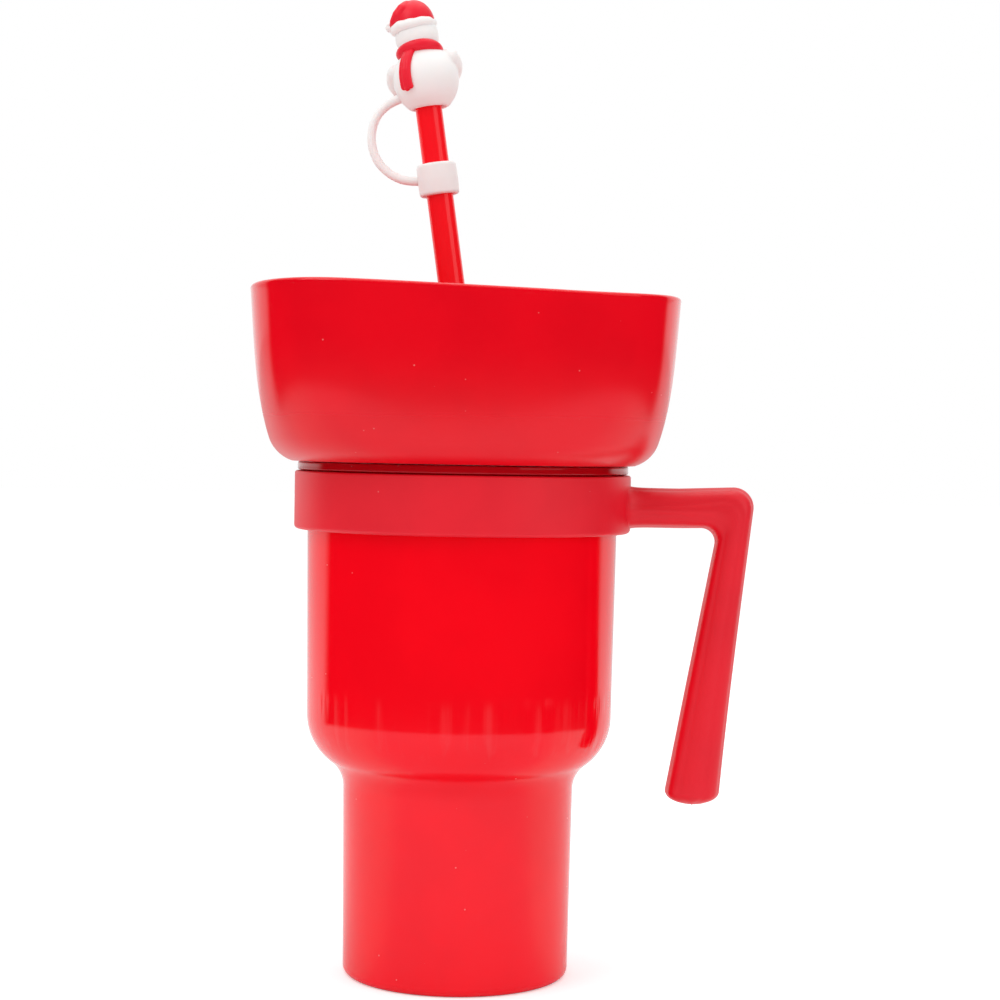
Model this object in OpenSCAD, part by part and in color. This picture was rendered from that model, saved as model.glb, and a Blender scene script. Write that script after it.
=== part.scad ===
// Two-in-one tumbler: a stepped drinking cup that fits a car's cup holder, a
// screw-on snack bowl over it, a slip-on handle, and a straw through the bowl
// with a soft snowman cap tethered to it. Millimetres, +Z up, origin at the
// middle of the foot. The handle points along +X.

/* [Cup] */
// Diameter of the narrow lower part at the foot
foot_d = 75; // [70:0.5:78]
// Diameter of the narrow lower part where the shoulder starts
narrow_top_d = 76.3; // [74:0.1:80]
// Height where the shoulder starts
narrow_h = 62.4; // [50:0.2:75]
// Diameter of the straight seat that the handle's ring turns on
seat_d = 103.2; // [102.6:0.1:106]
// Step from the seat in to the wide part just above the shoulder
seat_step = 1; // [0.6:0.1:2]
// Radius of the hollow bend under the shoulder
shoulder_lower_r = 11; // [8:0.5:14]
// Radius of the round shoulder
shoulder_upper_r = 19.2; // [15:0.2:24]
// Radius of the edge round the foot
foot_edge_r = 2.6; // [1.5:0.1:4]
// Height of the recess under the floor
foot_recess = 1.5; // [0.8:0.1:2]
// Width of the ring that the cup stands on
foot_ring_w = 4; // [3:0.5:6]
// Thickness of the cup's wall
cup_wall = 2; // [1.5:0.1:2.6]
// Thickness of the cup's floor
cup_floor = 2.1; // [1.6:0.1:3]
// Height of the cup to the top of its rim
cup_h = 170.6; // [160:0.2:185]
// Overhang of the rim's flange past the seat
flange_out = 3.5; // [2.5:0.1:4.2]
// Thickness of the rim's flange
flange_t = 2.7; // [2:0.1:4]
// Step from the seat in to the mouth that the bowl's plug fills
mouth_step = 3.1; // [2.8:0.1:4]

/* [Handle] */
// Height of the ring round the cup
ring_h = 19.2; // [15:0.2:24]
// Thickness of the ring's wall
ring_wall = 4.3; // [3:0.1:5]
// Height of the arm's middle above the ring's lower edge
arm_rise = 8.7; // [7:0.1:11]
// Height of the arm
arm_h = 11.6; // [9:0.2:14]
// Thickness of the arm, across the handle
arm_t = 17; // [12:0.5:22]
// Distance from the cup's axis to the outside of the handle's corner
handle_reach = 96.2; // [90:0.2:105]
// Radius inside the handle's corner
corner_inner_r = 4.6; // [3:0.2:7]
// Radius outside the handle's corner
corner_outer_r = 6.6; // [5:0.2:9]
// Width of the grip at its top
grip_top_w = 10.4; // [8:0.2:13]
// Width of the grip at its free end
grip_end_w = 16.5; // [12:0.2:20]
// Length of the grip's straight part below the arm
grip_len = 88; // [70:0.5:100]
// Lean of the grip's outer edge toward the cup, in degrees
grip_lean = 6.6; // [2:0.2:9]
// Outward curve of the grip's outer edge at its free end
grip_swell = 1.1; // [0:0.1:3]
// Rise of the handle's outer corner above the arm
corner_rise = 0.9; // [0:0.1:2]
// Radius of the grip's rounded edges
grip_edge_r = 3.4; // [2:0.2:4.5]

/* [Bowl] */
// Half the width of the bowl at its rim
bowl_half = 69.5; // [64:0.5:76]
// Half the width of the bowl's flat underside
bowl_base_half = 55.2; // [54:0.2:60]
// Height of the bowl from its underside to its rim
bowl_h = 55.3; // [45:0.5:70]
// Squareness of the rim's plan: 2 is a circle, larger is squarer
bowl_square = 3.8; // [2.6:0.1:5]
// Squareness of the underside's plan
base_square = 2.5; // [2.2:0.1:3.5]
// Radius of the turn from the underside to the sides
bowl_edge_r = 14.2; // [10:0.2:18]
// Outward lean of the sides at the rim, in degrees
bowl_draft = 4; // [2:0.5:8]
// Fall of the rim toward the handle, in degrees
rim_slope = 1.7; // [0:0.1:3]
// Turn of the bowl against the handle when it is screwed down, in degrees
bowl_turn = 5; // [0:1:20]
// Thickness of the bowl's wall
bowl_wall = 2.2; // [1.6:0.1:3]
// Thickness of the bowl's floor
bowl_floor = 2.4; // [1.8:0.1:3]
// Depth of the threaded plug that enters the cup
plug_depth = 11; // [8:0.5:14]
// Thickness of the plug's wall
plug_wall = 2.2; // [1.8:0.1:3]
// Height of the straw's column above the bowl's underside
column_h = 23.1; // [15:0.5:35]
// Diameter inside the straw's column
column_bore = 19.2; // [17:0.2:22]
// Thickness of the column's wall at its top
column_wall = 1.8; // [1.4:0.1:2.6]
// Growth of the column's radius from its top to its foot
column_flare = 2.2; // [1:0.2:4]

/* [Seals] */
// Width of the gasket in the cup's rim
seal_w = 1.9; // [1.4:0.1:2.4]
// Thickness of the gasket
seal_t = 1.7; // [1.2:0.1:2.2]
// Depth of the soft bush in the straw's column
bush_depth = 6; // [4:0.5:10]
// Thickness of the soft bush's flange
bush_flange = 2.3; // [1.5:0.1:3]

/* [Straw] */
// Outside diameter of the straw
straw_d = 8.9; // [7:0.1:10]
// Wall of the straw
straw_wall = 0.7; // [0.5:0.1:1.2]
// Lean of the straw away from the handle, in degrees
straw_lean = 8.4; // [2:0.2:9]
// Length of the straw above the bush, along the straw
straw_above = 106; // [80:1:130]
// Diameter of the soft ring on the straw
keeper_d = 13.3; // [12:0.1:15]
// Height of the soft ring on the straw
keeper_h = 10.6; // [8:0.2:14]
// Height of the soft ring's middle above the bush, along the straw
keeper_at = 70.1; // [50:0.5:80]
// Diameter of the tether
tether_d = 2.9; // [2.2:0.1:3.6]
// Radius of the tether's loop
tether_r = 13; // [10:0.5:16]

/* [Snowman] */
// Diameter of the snowman's body
belly_d = 20.8; // [18:0.2:24]
// Diameter of its head
head_d = 14.8; // [12:0.2:17]
// Depth of the socket that holds the straw's tip
socket_depth = 11.4; // [8:0.2:13]
// Distance from the middle of the body to the middle of the head
neck_len = 13.8; // [12:0.2:16]
// Sideways shift of the head from the straw's line
head_shift = 1; // [0:0.1:2]
// Diameter of the scarf's roll
scarf_t = 4; // [3:0.1:5]
// Width of the scarf's hanging end
scarf_tail_w = 4.4; // [3:0.1:5.5]
// Diameter of the hat's rolled edge
brim_t = 3.4; // [2.6:0.1:4.2]
// Height of the hat above its rolled edge
hat_h = 8.2; // [6:0.2:11]

/* [Clearances] */
// Gap round pieces that turn or slide on each other
running = 0.05; // [0.03:0.01:0.08]
// Gap between the handle's ring and its seat, and round the plug
slip = 0.1; // [0.06:0.01:0.1]
// Gap between pieces that lie on each other
seated = 0.1; // [0.05:0.05:0.3]
// Gap between the handle's ring and the flange, and under the straw
free = 0.3; // [0.2:0.1:0.6]

/* [Hidden] */
$fn = 96;

red = [0.86, 0.03, 0.10];
matte_red = [0.88, 0.16, 0.20];
soft_white = [0.94, 0.92, 0.90];
coal = [0.10, 0.10, 0.11];
carrot = [0.93, 0.42, 0.10];

// Cup
foot_r = foot_d / 2;
narrow_r = narrow_top_d / 2;
seat_r = seat_d / 2;
wide_r = seat_r - seat_step;
flange_r = seat_r + flange_out;
mouth_r = seat_r - mouth_step;
flange_z = cup_h - flange_t;
cup_floor_z = foot_recess + cup_floor;
shoulder_angle = acos(1 - (wide_r - narrow_r) / (shoulder_lower_r + shoulder_upper_r));
shoulder_h = (shoulder_lower_r + shoulder_upper_r) * sin(shoulder_angle);
wide_z = narrow_h + shoulder_h;
inner_edge_r = foot_edge_r;
ring_top_z = flange_z - free;
ring_z = ring_top_z - ring_h;
seat_lead = 1;
seat_z = ring_z - seat_lead;
snap_rise = 3;
snap_z = ring_z + snap_rise;
snap_depth = 0.4;
rim_edge_r = 0.5;
under_rim_r = 0.2;
arc_steps = 10;

// Bowl and its seal
bowl_z = cup_h + free;
plug_r = mouth_r - slip;
plug_z = bowl_z - plug_depth;
seal_z = bowl_z - seated - seal_t;
seal_r = plug_r + slip + seal_w;
rebate_r = seal_r + seated;
rebate_z = seal_z - seated;
neck_drop = 3;
neck_z = plug_z - neck_drop;
column_top_z = bowl_z + column_h;
column_r = column_bore / 2 + column_wall;
bowl_points = 72;
edge_start = 18;
edge_end = 72;
edge_steps = 6;
edge_in_steps = 4;
edge_turn = 90;
edge_trim = 10;
side_steps = 8;
lip_drop = 0.8;
lip_edge = 0.35;
lip_fall = 0.2;
floor_in = 6;
edge_centre_r = bowl_base_half - bowl_edge_r * sin(edge_start);
edge_centre_h = bowl_edge_r * cos(edge_start);
edge_top_r = edge_centre_r + bowl_edge_r * sin(edge_end);
edge_top_h = edge_centre_h - bowl_edge_r * cos(edge_end);
side_h = bowl_h - edge_top_h;
side_belly = bowl_half - edge_top_r - side_h * tan(bowl_draft);

// Straw, measured along its own line from the top of its bush
straw_r = straw_d / 2;
bush_top_z = column_top_z + bush_flange;
straw_foot_z = cup_floor_z + free + straw_r * sin(straw_lean);
straw_below = (bush_top_z - straw_foot_z) / cos(straw_lean);
keeper_r = keeper_d / 2;
tether_wire_r = tether_d / 2;
tether_low = keeper_at + 0.6;
tether_mid = tether_low + tether_r;
tether_x = -(keeper_r + 1);
tether_end = 168;

// Snowman, on the straw's line
belly_r = belly_d / 2;
head_r = head_d / 2;
socket_z = straw_above - socket_depth;
belly_x = 0.8;
belly_z = socket_z + sqrt(pow(belly_r, 2) - pow(straw_r + belly_x, 2));
head_z = belly_z + neck_len;
head_x = -head_shift;
scarf_z = belly_z + belly_r * 0.97;
scarf_r = scarf_t / 2;
scarf_x = -0.3;
scarf_ring_r = 8 - scarf_r;
brim_r = brim_t / 2;
brim_x = head_x - 1.2;
brim_z = head_z + 4.2;
brim_ring_r = 6.9;
hat_r = 6.6;
arm_r = 3.1;
hand_r = 2.4;
tail_side = 228;
tail_low = -24;
tail_high = 55;
joint = 0.02;

// Points of an arc about [cx, cy] from angle a to angle b
function arc(cx, cy, r, a, b, steps = arc_steps) =
    [for (i = [0:steps]) let(t = a + (b - a) * i / steps) [cx + r * cos(t), cy + r * sin(t)]];

// The two tangent bends of the shoulder, moved in by the wall
function shoulder(inset) = concat(
    arc(narrow_r + shoulder_lower_r, narrow_h, shoulder_lower_r + inset, 180, 180 - shoulder_angle),
    arc(wide_r - shoulder_upper_r, wide_z, shoulder_upper_r - inset, -shoulder_angle, 0));

// A list from its last item to its first
function backwards(list) = [for (i = [len(list) - 1:-1:0]) list[i]];

// A closed skin over rings of points; all rings have as many points
module loft(rings) {
    n = len(rings[0]);
    last = len(rings) - 1;
    points = [for (ring = rings) for (p = ring) p];
    sides = [for (k = [0:last - 1]) for (i = [0:n - 1]) let(j = (i + 1) % n)
        each [[k * n + i, k * n + j, (k + 1) * n + j], [k * n + i, (k + 1) * n + j, (k + 1) * n + i]]];
    caps = [[for (i = [n - 1:-1:0]) i], [for (i = [0:n - 1]) last * n + i]];
    polyhedron(points, concat(sides, caps), convexity = 8);
}

module on_straw() {
    translate([0, 0, bush_top_z]) rotate([0, -straw_lean, 0]) children();
}

module cup_body() {
    foot_in = foot_r - foot_ring_w;
    outside = concat(
        [[0, foot_recess], [foot_in - foot_recess, foot_recess], [foot_in, 0]],
        arc(foot_r - foot_edge_r, foot_edge_r, foot_edge_r, -90, 0, 6),
        shoulder(0),
        [[seat_r, seat_z], [seat_r, snap_z - snap_depth], [seat_r - snap_depth, snap_z],
         [seat_r, snap_z + snap_depth], [seat_r, flange_z - under_rim_r], [seat_r + under_rim_r, flange_z]],
        arc(flange_r - rim_edge_r, flange_z + rim_edge_r, rim_edge_r, -90, 0, 4),
        arc(flange_r - rim_edge_r, cup_h - rim_edge_r, rim_edge_r, 0, 90, 4));
    inside = concat(
        [[rebate_r, cup_h], [rebate_r, rebate_z], [mouth_r, rebate_z], [mouth_r, neck_z],
         [seat_r - cup_wall, neck_z - (seat_r - cup_wall - mouth_r)], [seat_r - cup_wall, seat_z]],
        backwards(shoulder(cup_wall)),
        arc(foot_r - cup_wall - inner_edge_r, cup_floor_z + inner_edge_r, inner_edge_r, 0, -90, 6),
        [[0, cup_floor_z]]);
    color(red) rotate_extrude() polygon(concat(outside, inside));
}

// A rounded rectangle's outline, w along the first axis and t along the second
function grip_section(w, t, r, n = 5) = [
    for (q = [0:3]) for (i = [0:n]) let(a = 90 * q + 90 * i / n,
        cx = (q == 0 || q == 3 ? 1 : -1) * (w / 2 - r), cy = (q < 2 ? 1 : -1) * (t / 2 - r))
        [cx + r * cos(a), cy + r * sin(a)]];

// One ring of the handle's skin, from its inner edge point to its outer edge point
function handle_ring(inner, outer, t, r) =
    let(w = norm(outer - inner), u = (outer - inner) / w, mid = (outer + inner) / 2,
        edge = min(r, w / 2 - 0.3, t / 2 - 0.3))
    [for (p = grip_section(w, t, edge)) [mid[0] + u[0] * p[0], p[1], mid[1] + u[1] * p[0]]];

module handle() {
    arm_z = ring_z + arm_rise;
    ring_r = seat_r + slip;
    ring_out = ring_r + ring_wall;
    under = arm_z - arm_h / 2;
    over = arm_z + arm_h / 2;
    end_z = under - grip_len;
    outer_c = [handle_reach - corner_outer_r, over + corner_rise - corner_outer_r];
    outer_top = outer_c + corner_outer_r * [cos(grip_lean), -sin(grip_lean)];
    outer_end = outer_top - (outer_top[1] - end_z) * [tan(grip_lean), 1];
    inner_z = under - corner_inner_r;
    inner_x = outer_top[0] - (outer_top[1] - inner_z) * tan(grip_lean) - grip_top_w;
    inner_c = [inner_x - corner_inner_r, inner_z];
    inner_end = outer_end + [grip_swell - grip_end_w, 0];
    inner_lean = atan2(inner_x - inner_end[0], inner_z - end_z);
    inner_top = inner_c + corner_inner_r * [cos(inner_lean), -sin(inner_lean)];
    flare = [[ring_out - 3, 1, 8], [ring_out, 0.6, 5.5], [ring_out + 2, 0.25, 3.2],
        [ring_out + 5, 0.05, 1], [ring_out + 10, 0, 0]];
    root = [for (k = flare)
        handle_ring([k[0], under - k[1]], [k[0], over + k[1]], arm_t + k[2], grip_edge_r)];
    turn = 90 + grip_lean;
    corner = [for (i = [0:8]) let(a = 90 - turn * i / 8, b = 90 - (90 + inner_lean) * i / 8)
        handle_ring(inner_c + corner_inner_r * [cos(b), sin(b)],
            outer_c + corner_outer_r * [cos(a), sin(a)], arm_t, grip_edge_r)];
    grip = [for (i = [1:8]) let(t = i / 8)
        handle_ring(inner_top + (inner_end - inner_top) * t,
            outer_top + (outer_end - outer_top) * t + [grip_swell * pow(t, 3), 0], arm_t + t, grip_edge_r)];
    tip_r = grip_edge_r * 1.3;
    tip = [for (a = [22.5:22.5:78]) let(draw_in = tip_r * (1 - cos(a)), drop = tip_r * sin(a))
        handle_ring(inner_end + [draw_in, -drop], outer_end + [grip_swell - draw_in, -drop],
            arm_t + 1 - 2 * draw_in, grip_edge_r)];
    color(matte_red) union() {
        rotate_extrude() polygon(concat(
            [[ring_r, ring_top_z], [ring_r, snap_z + snap_depth], [ring_r - snap_depth + slip, snap_z],
             [ring_r, snap_z - snap_depth], [ring_r, ring_z]],
            arc(ring_out - 1.3, ring_z + 1.3, 1.3, -90, 0, 6),
            arc(ring_out - 0.8, ring_top_z - 0.8, 0.8, 0, 90, 6)));
        loft(concat(root, corner, grip, tip));
    }
}

// Radius of a rounded square of half width a and squareness s, at angle t
function square_r(a, s, t) = a / pow(pow(abs(cos(t)), s) + pow(abs(sin(t)), s), 1 / s);

// One ring of the bowl at height h above its underside, its half width a
function bowl_ring(a, h) =
    let(s = base_square + (bowl_square - base_square) * min(1, h / (bowl_h * 0.45)))
    [for (i = [0:bowl_points - 1]) let(t = -360 * i / bowl_points, r = square_r(a, s, t), x = r * cos(t))
        [x, r * sin(t), bowl_z + h - x * tan(rim_slope) * h / bowl_h]];

// Half width of the bowl's side, a fraction u up from the edge to the rim
function side_a(u) = bowl_half - side_h * (1 - u) * tan(bowl_draft) - side_belly * pow(1 - u, 3);

// Height of the bowl's side there, which stops below the lip's round
function side_z(u) = edge_top_h + side_h * u - (u == 1 ? lip_drop : 0);

module bowl_shell() {
    first = edge_start - edge_turn;
    last = edge_end - edge_turn;
    edge = [for (p = arc(edge_centre_r, edge_centre_h, bowl_edge_r, first, last, edge_steps))
        bowl_ring(p[0], p[1])];
    side = [for (i = [1:side_steps]) let(u = i / side_steps) bowl_ring(side_a(u), side_z(u))];
    lip = [for (p = [[lip_edge, lip_fall], [lip_drop, 0], [bowl_wall - lip_drop, 0], [bowl_wall - lip_edge, lip_fall]])
        bowl_ring(bowl_half - p[0], bowl_h - p[1])];
    side_in = [for (i = [side_steps:-1:0]) let(u = i / side_steps) bowl_ring(side_a(u) - bowl_wall, side_z(u))];
    edge_in = [for (p = arc(edge_centre_r, edge_centre_h, bowl_edge_r - bowl_wall,
            last - edge_trim, first + edge_trim, edge_in_steps))
        bowl_ring(p[0], max(p[1], bowl_floor + lip_fall))];
    inner_floor = [bowl_ring(bowl_base_half - floor_in, bowl_floor)];
    loft(concat(edge, side, lip, side_in, edge_in, inner_floor));
}

module snack_bowl() {
    color(red) rotate([0, 0, bowl_turn]) difference() {
        union() {
            bowl_shell();
            rotate_extrude() polygon([
                [plug_r - plug_wall, plug_z], [plug_r - 0.5, plug_z], [plug_r, plug_z + 0.5],
                [plug_r, bowl_z + 1], [plug_r - plug_wall, bowl_z + 1]]);
            rotate_extrude() polygon([
                [0, bowl_z + 1], [column_r + column_flare + 3, bowl_z + 1],
                [column_r + column_flare + 3, bowl_z + bowl_floor],
                [column_r + column_flare + 0.6, bowl_z + bowl_floor + 0.8],
                [column_r + column_flare, bowl_z + bowl_floor + 3],
                [column_r, column_top_z], [0, column_top_z]]);
        }
        translate([0, 0, bowl_z - 1]) cylinder(h = column_h + 2, d = column_bore);
    }
}

module bowl_seal() {
    color(soft_white) translate([0, 0, seal_z]) difference() {
        cylinder(h = seal_t, r = seal_r);
        translate([0, 0, -1]) cylinder(h = seal_t + 2, r = seal_r - seal_w);
    }
}

module straw_bush() {
    bush_r = column_bore / 2 - running;
    color(soft_white) difference() {
        rotate_extrude() polygon([
            [0, column_top_z - bush_depth], [bush_r - 0.6, column_top_z - bush_depth],
            [bush_r, column_top_z - bush_depth + 0.6], [bush_r, column_top_z],
            [column_r + 0.4, column_top_z], [column_r + 0.4, bush_top_z - 1],
            [column_r - 0.6, bush_top_z], [0, bush_top_z]]);
        on_straw() translate([0, 0, -bush_depth * 2 - bush_flange]) cylinder(h = bush_depth * 4, r = straw_r + running);
    }
}

module straw() {
    color(red) on_straw() translate([0, 0, -straw_below]) difference() {
        cylinder(h = straw_below + straw_above, r = straw_r);
        translate([0, 0, -1]) cylinder(h = straw_below + straw_above + 2, r = straw_r - straw_wall);
    }
}

module straw_ring() {
    low = keeper_at - keeper_h / 2;
    edge = 0.8;
    color(soft_white) on_straw() difference() {
        union() {
            rotate_extrude() polygon(concat(
                [[0, low]], arc(keeper_r - edge, low + edge, edge, -90, 0, 4),
                arc(keeper_r - edge, low + keeper_h - edge, edge, 0, 90, 4), [[0, low + keeper_h]]));
            translate([tether_x, 0, tether_low]) rotate([0, 90, 0]) cylinder(h = keeper_r, r = tether_wire_r + 0.2);
        }
        translate([0, 0, low - 1]) cylinder(h = keeper_h + 2, r = straw_r + running);
    }
}

// The end of the tether's loop, with +Z along the loop there
module at_tether_end() {
    translate([tether_x - tether_r * sin(tether_end), 0, tether_mid - tether_r * cos(tether_end)])
        rotate([0, tether_end - 90, 0]) children();
}

module tether() {
    color(soft_white) on_straw() translate([tether_x, 0, tether_mid]) rotate([90, 0, 0])
        rotate([0, 0, 270 - tether_end]) rotate_extrude(angle = tether_end)
            translate([tether_r, 0]) circle(r = tether_wire_r, $fn = 32);
}

// The snowman's body and head as two balls
module figure(grow = 0) {
    translate([belly_x, 0, belly_z]) sphere(r = belly_r + grow);
    translate([head_x, 0, head_z]) sphere(r = head_r + grow);
}

// Centres of an arm's shoulder and hand; side is 1 on the handle's side
function shoulder_at(side) = [belly_x + side * (belly_r - 2.2), 0.5, belly_z + 1.6 + side * 1.4];
function hand_at(side) = [belly_x + side * (belly_r - 2.6), belly_r * 0.55, belly_z + 0.6 + side];

module arm(side) {
    hull() {
        translate(shoulder_at(side)) sphere(r = arm_r, $fn = 24);
        translate(hand_at(side)) sphere(r = hand_r, $fn = 24);
    }
}

module snowman_body() {
    color(soft_white) on_straw() difference() {
        union() {
            figure();
            arm(1);
            arm(-1);
            at_tether_end() translate([0, 0, running]) cylinder(h = 4, r = tether_wire_r + 0.2);
        }
        cylinder(h = straw_above + free, r = straw_r + running);
    }
}

module hat_form(grow = 0) {
    translate([brim_x, 0, brim_z]) {
        rotate_extrude() polygon(concat([[0, 0], [hat_r + grow, 0]],
            [for (i = [1:8]) let(a = 90 * i / 8) [(hat_r + grow) * pow(cos(a), 0.8), (hat_h + grow) * sin(a)]]));
        hull() {
            translate([-2, -0.5, hat_h - 2.2]) sphere(r = 2.2 + grow, $fn = 24);
            translate([-5, -1, hat_h / 2]) sphere(r = 1.9 + grow, $fn = 24);
            translate([-hat_r + 0.6, -0.6, brim_r]) sphere(r = 1.2 + grow, $fn = 24);
        }
    }
}

module hat() {
    color(red) on_straw() difference() {
        hat_form();
        figure(joint);
    }
}

module brim_form(grow = 0) {
    translate([brim_x, 0, brim_z]) rotate_extrude()
        translate([brim_ring_r, 0]) circle(r = brim_r + grow, $fn = 32);
}

module hat_brim() {
    color(soft_white) on_straw() difference() {
        brim_form();
        hat_form(joint);
        figure(joint);
    }
}

module hat_pompom() {
    color(soft_white) on_straw() difference() {
        translate([brim_x - brim_ring_r - brim_r - 0.2, 0.6, brim_z + 0.8]) sphere(r = 1.8);
        brim_form(joint);
    }
}

module scarf_form(grow = 0) {
    translate([scarf_x, 0, scarf_z]) rotate_extrude()
        translate([scarf_ring_r, 0]) circle(r = scarf_r + grow, $fn = 32);
}

module scarf() {
    color(red) on_straw() difference() {
        scarf_form();
        figure(joint);
    }
}

// Three ribs that hang from the scarf and lie on the body
module scarf_tail() {
    rib_r = scarf_tail_w / 4;
    lie_r = belly_r + rib_r * 0.6;
    color(red) on_straw() difference() {
        translate([belly_x, 0, belly_z]) rotate([0, 0, tail_side]) rotate([90, 0, 0]) {
            rotate([0, 0, tail_low]) rotate_extrude(angle = tail_high - tail_low) {
                for (k = [-1:1]) translate([lie_r, k * rib_r]) circle(r = rib_r, $fn = 24);
            }
            rotate([0, 0, tail_low]) rotate([0, 90, 0]) translate([0, 0, belly_r])
                cylinder(h = rib_r * 1.4, r = scarf_tail_w / 2);
        }
        figure(joint);
        scarf_form(joint);
    }
}

module eyes() {
    color(coal) on_straw() for (side = [-1, 1]) difference() {
        translate([head_x + side * 2.6, head_r * 0.92, head_z + 1]) sphere(r = 0.95);
        figure(joint);
    }
}

module nose() {
    color(carrot) on_straw() difference() {
        translate([head_x, head_r - 0.6, head_z - 0.6]) rotate([-90, 0, 0]) cylinder(h = 4, r1 = 1.2, r2 = 0.35);
        figure(joint);
    }
}

module buttons() {
    color(coal) on_straw() for (rise = [-1.5, 3]) difference() {
        translate([belly_x, sqrt(pow(belly_r, 2) - pow(rise, 2)), belly_z + rise]) sphere(r = 0.95);
        figure(joint);
    }
}

cup_body();
handle();
snack_bowl();
bowl_seal();
straw_bush();
straw();
straw_ring();
tether();
snowman_body();
hat();
hat_brim();
hat_pompom();
scarf();
scarf_tail();
eyes();
nose();
buttons();
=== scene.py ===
"""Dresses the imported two-in-one tumbler: a stepped cup, a slip-on handle, a snack
bowl screwed onto its mouth, and a straw with a soft snowman cap on a tether.

Lengths in the classes are millimetres in the part's own frame: +Z up the cup's
axis, +X toward the handle, origin at the middle of the foot.
"""

import logging
import math
from dataclasses import dataclass
from enum import Enum
from typing import Iterable, Sequence

import bmesh
import bpy
from bmesh.types import BMEdge, BMesh, BMVert
from mathutils import Matrix, Vector


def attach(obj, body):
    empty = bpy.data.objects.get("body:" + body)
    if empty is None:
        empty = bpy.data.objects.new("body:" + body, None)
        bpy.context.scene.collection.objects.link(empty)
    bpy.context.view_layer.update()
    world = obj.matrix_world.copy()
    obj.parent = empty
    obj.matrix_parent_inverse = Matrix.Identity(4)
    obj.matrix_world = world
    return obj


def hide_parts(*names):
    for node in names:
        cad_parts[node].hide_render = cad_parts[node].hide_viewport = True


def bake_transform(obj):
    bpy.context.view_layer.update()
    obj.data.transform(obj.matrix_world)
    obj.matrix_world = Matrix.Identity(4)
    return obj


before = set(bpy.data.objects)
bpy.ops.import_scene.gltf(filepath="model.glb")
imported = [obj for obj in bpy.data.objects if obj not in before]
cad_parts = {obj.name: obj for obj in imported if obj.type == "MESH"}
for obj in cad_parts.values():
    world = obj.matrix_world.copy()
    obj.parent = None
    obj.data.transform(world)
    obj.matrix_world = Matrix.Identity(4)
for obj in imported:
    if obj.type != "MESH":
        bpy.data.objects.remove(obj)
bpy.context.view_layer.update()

log = logging.getLogger("tumbler")
logging.basicConfig(level=logging.INFO, format="%(name)s: %(message)s")

MM = 0.001
TURN_STEPS = 160
ROLL_STEPS = 96
Point = tuple[float, float]
Colour = tuple[float, float, float]
Ring = list[Vector]


class Body(Enum):
    """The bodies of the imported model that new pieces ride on."""

    CUP = "cup"
    HANDLE = "handle"
    BOWL = "bowl"
    STRAW = "straw"
    KEEPER = "keeper"
    SNOWMAN = "snowman"


class Slot(Enum):
    """The record's material slots that new pieces take their finish from."""

    CUP = "cup_red"
    HANDLE = "handle_red"
    BOWL = "bowl_red"
    STRAW = "straw_red"
    WHITE = "soft_white"
    RED = "soft_red"


# ---------------------------------------------------------------- shader maths


class Wire:
    """A shader socket that takes part in Python arithmetic."""

    def __init__(self, board: "Board", socket: bpy.types.NodeSocket) -> None:
        """Wraps one output socket of a board's node tree."""
        self.board = board
        self.socket = socket

    def _math(self, operation: str, *values: "Wire | float") -> "Wire":
        """Adds one Math node over the given values."""
        return self.board.node("ShaderNodeMath", {"operation": operation}, *values)

    def __add__(self, other: "Wire | float") -> "Wire":
        """self + other."""
        return self._math("ADD", self, other)

    __radd__ = __add__

    def __sub__(self, other: "Wire | float") -> "Wire":
        """self - other."""
        return self._math("SUBTRACT", self, other)

    def __rsub__(self, other: "Wire | float") -> "Wire":
        """other - self."""
        return self._math("SUBTRACT", other, self)

    def __mul__(self, other: "Wire | float") -> "Wire":
        """self * other."""
        return self._math("MULTIPLY", self, other)

    __rmul__ = __mul__

    def __truediv__(self, other: "Wire | float") -> "Wire":
        """self / other."""
        return self._math("DIVIDE", self, other)

    def __pow__(self, power: float) -> "Wire":
        """self raised to a power."""
        return self._math("POWER", self, power)

    def above(self, edge: "Wire | float") -> "Wire":
        """1 where self is greater than edge, else 0."""
        return self._math("GREATER_THAN", self, edge)

    def step(self, low: float, high: float) -> "Wire":
        """A smooth step.

        Args:
            low: Value where it is 0.
            high: Value where it is 1, which may be the smaller of the two.

        Returns:
            The step's height, from 0 to 1.
        """
        if low > high:
            return 1.0 - self.step(high, low)
        return self.board.node(
            "ShaderNodeMapRange",
            {"interpolation_type": "SMOOTHSTEP", "clamp": True},
            Value=self,
            From_Min=low,
            From_Max=high,
        )


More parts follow.
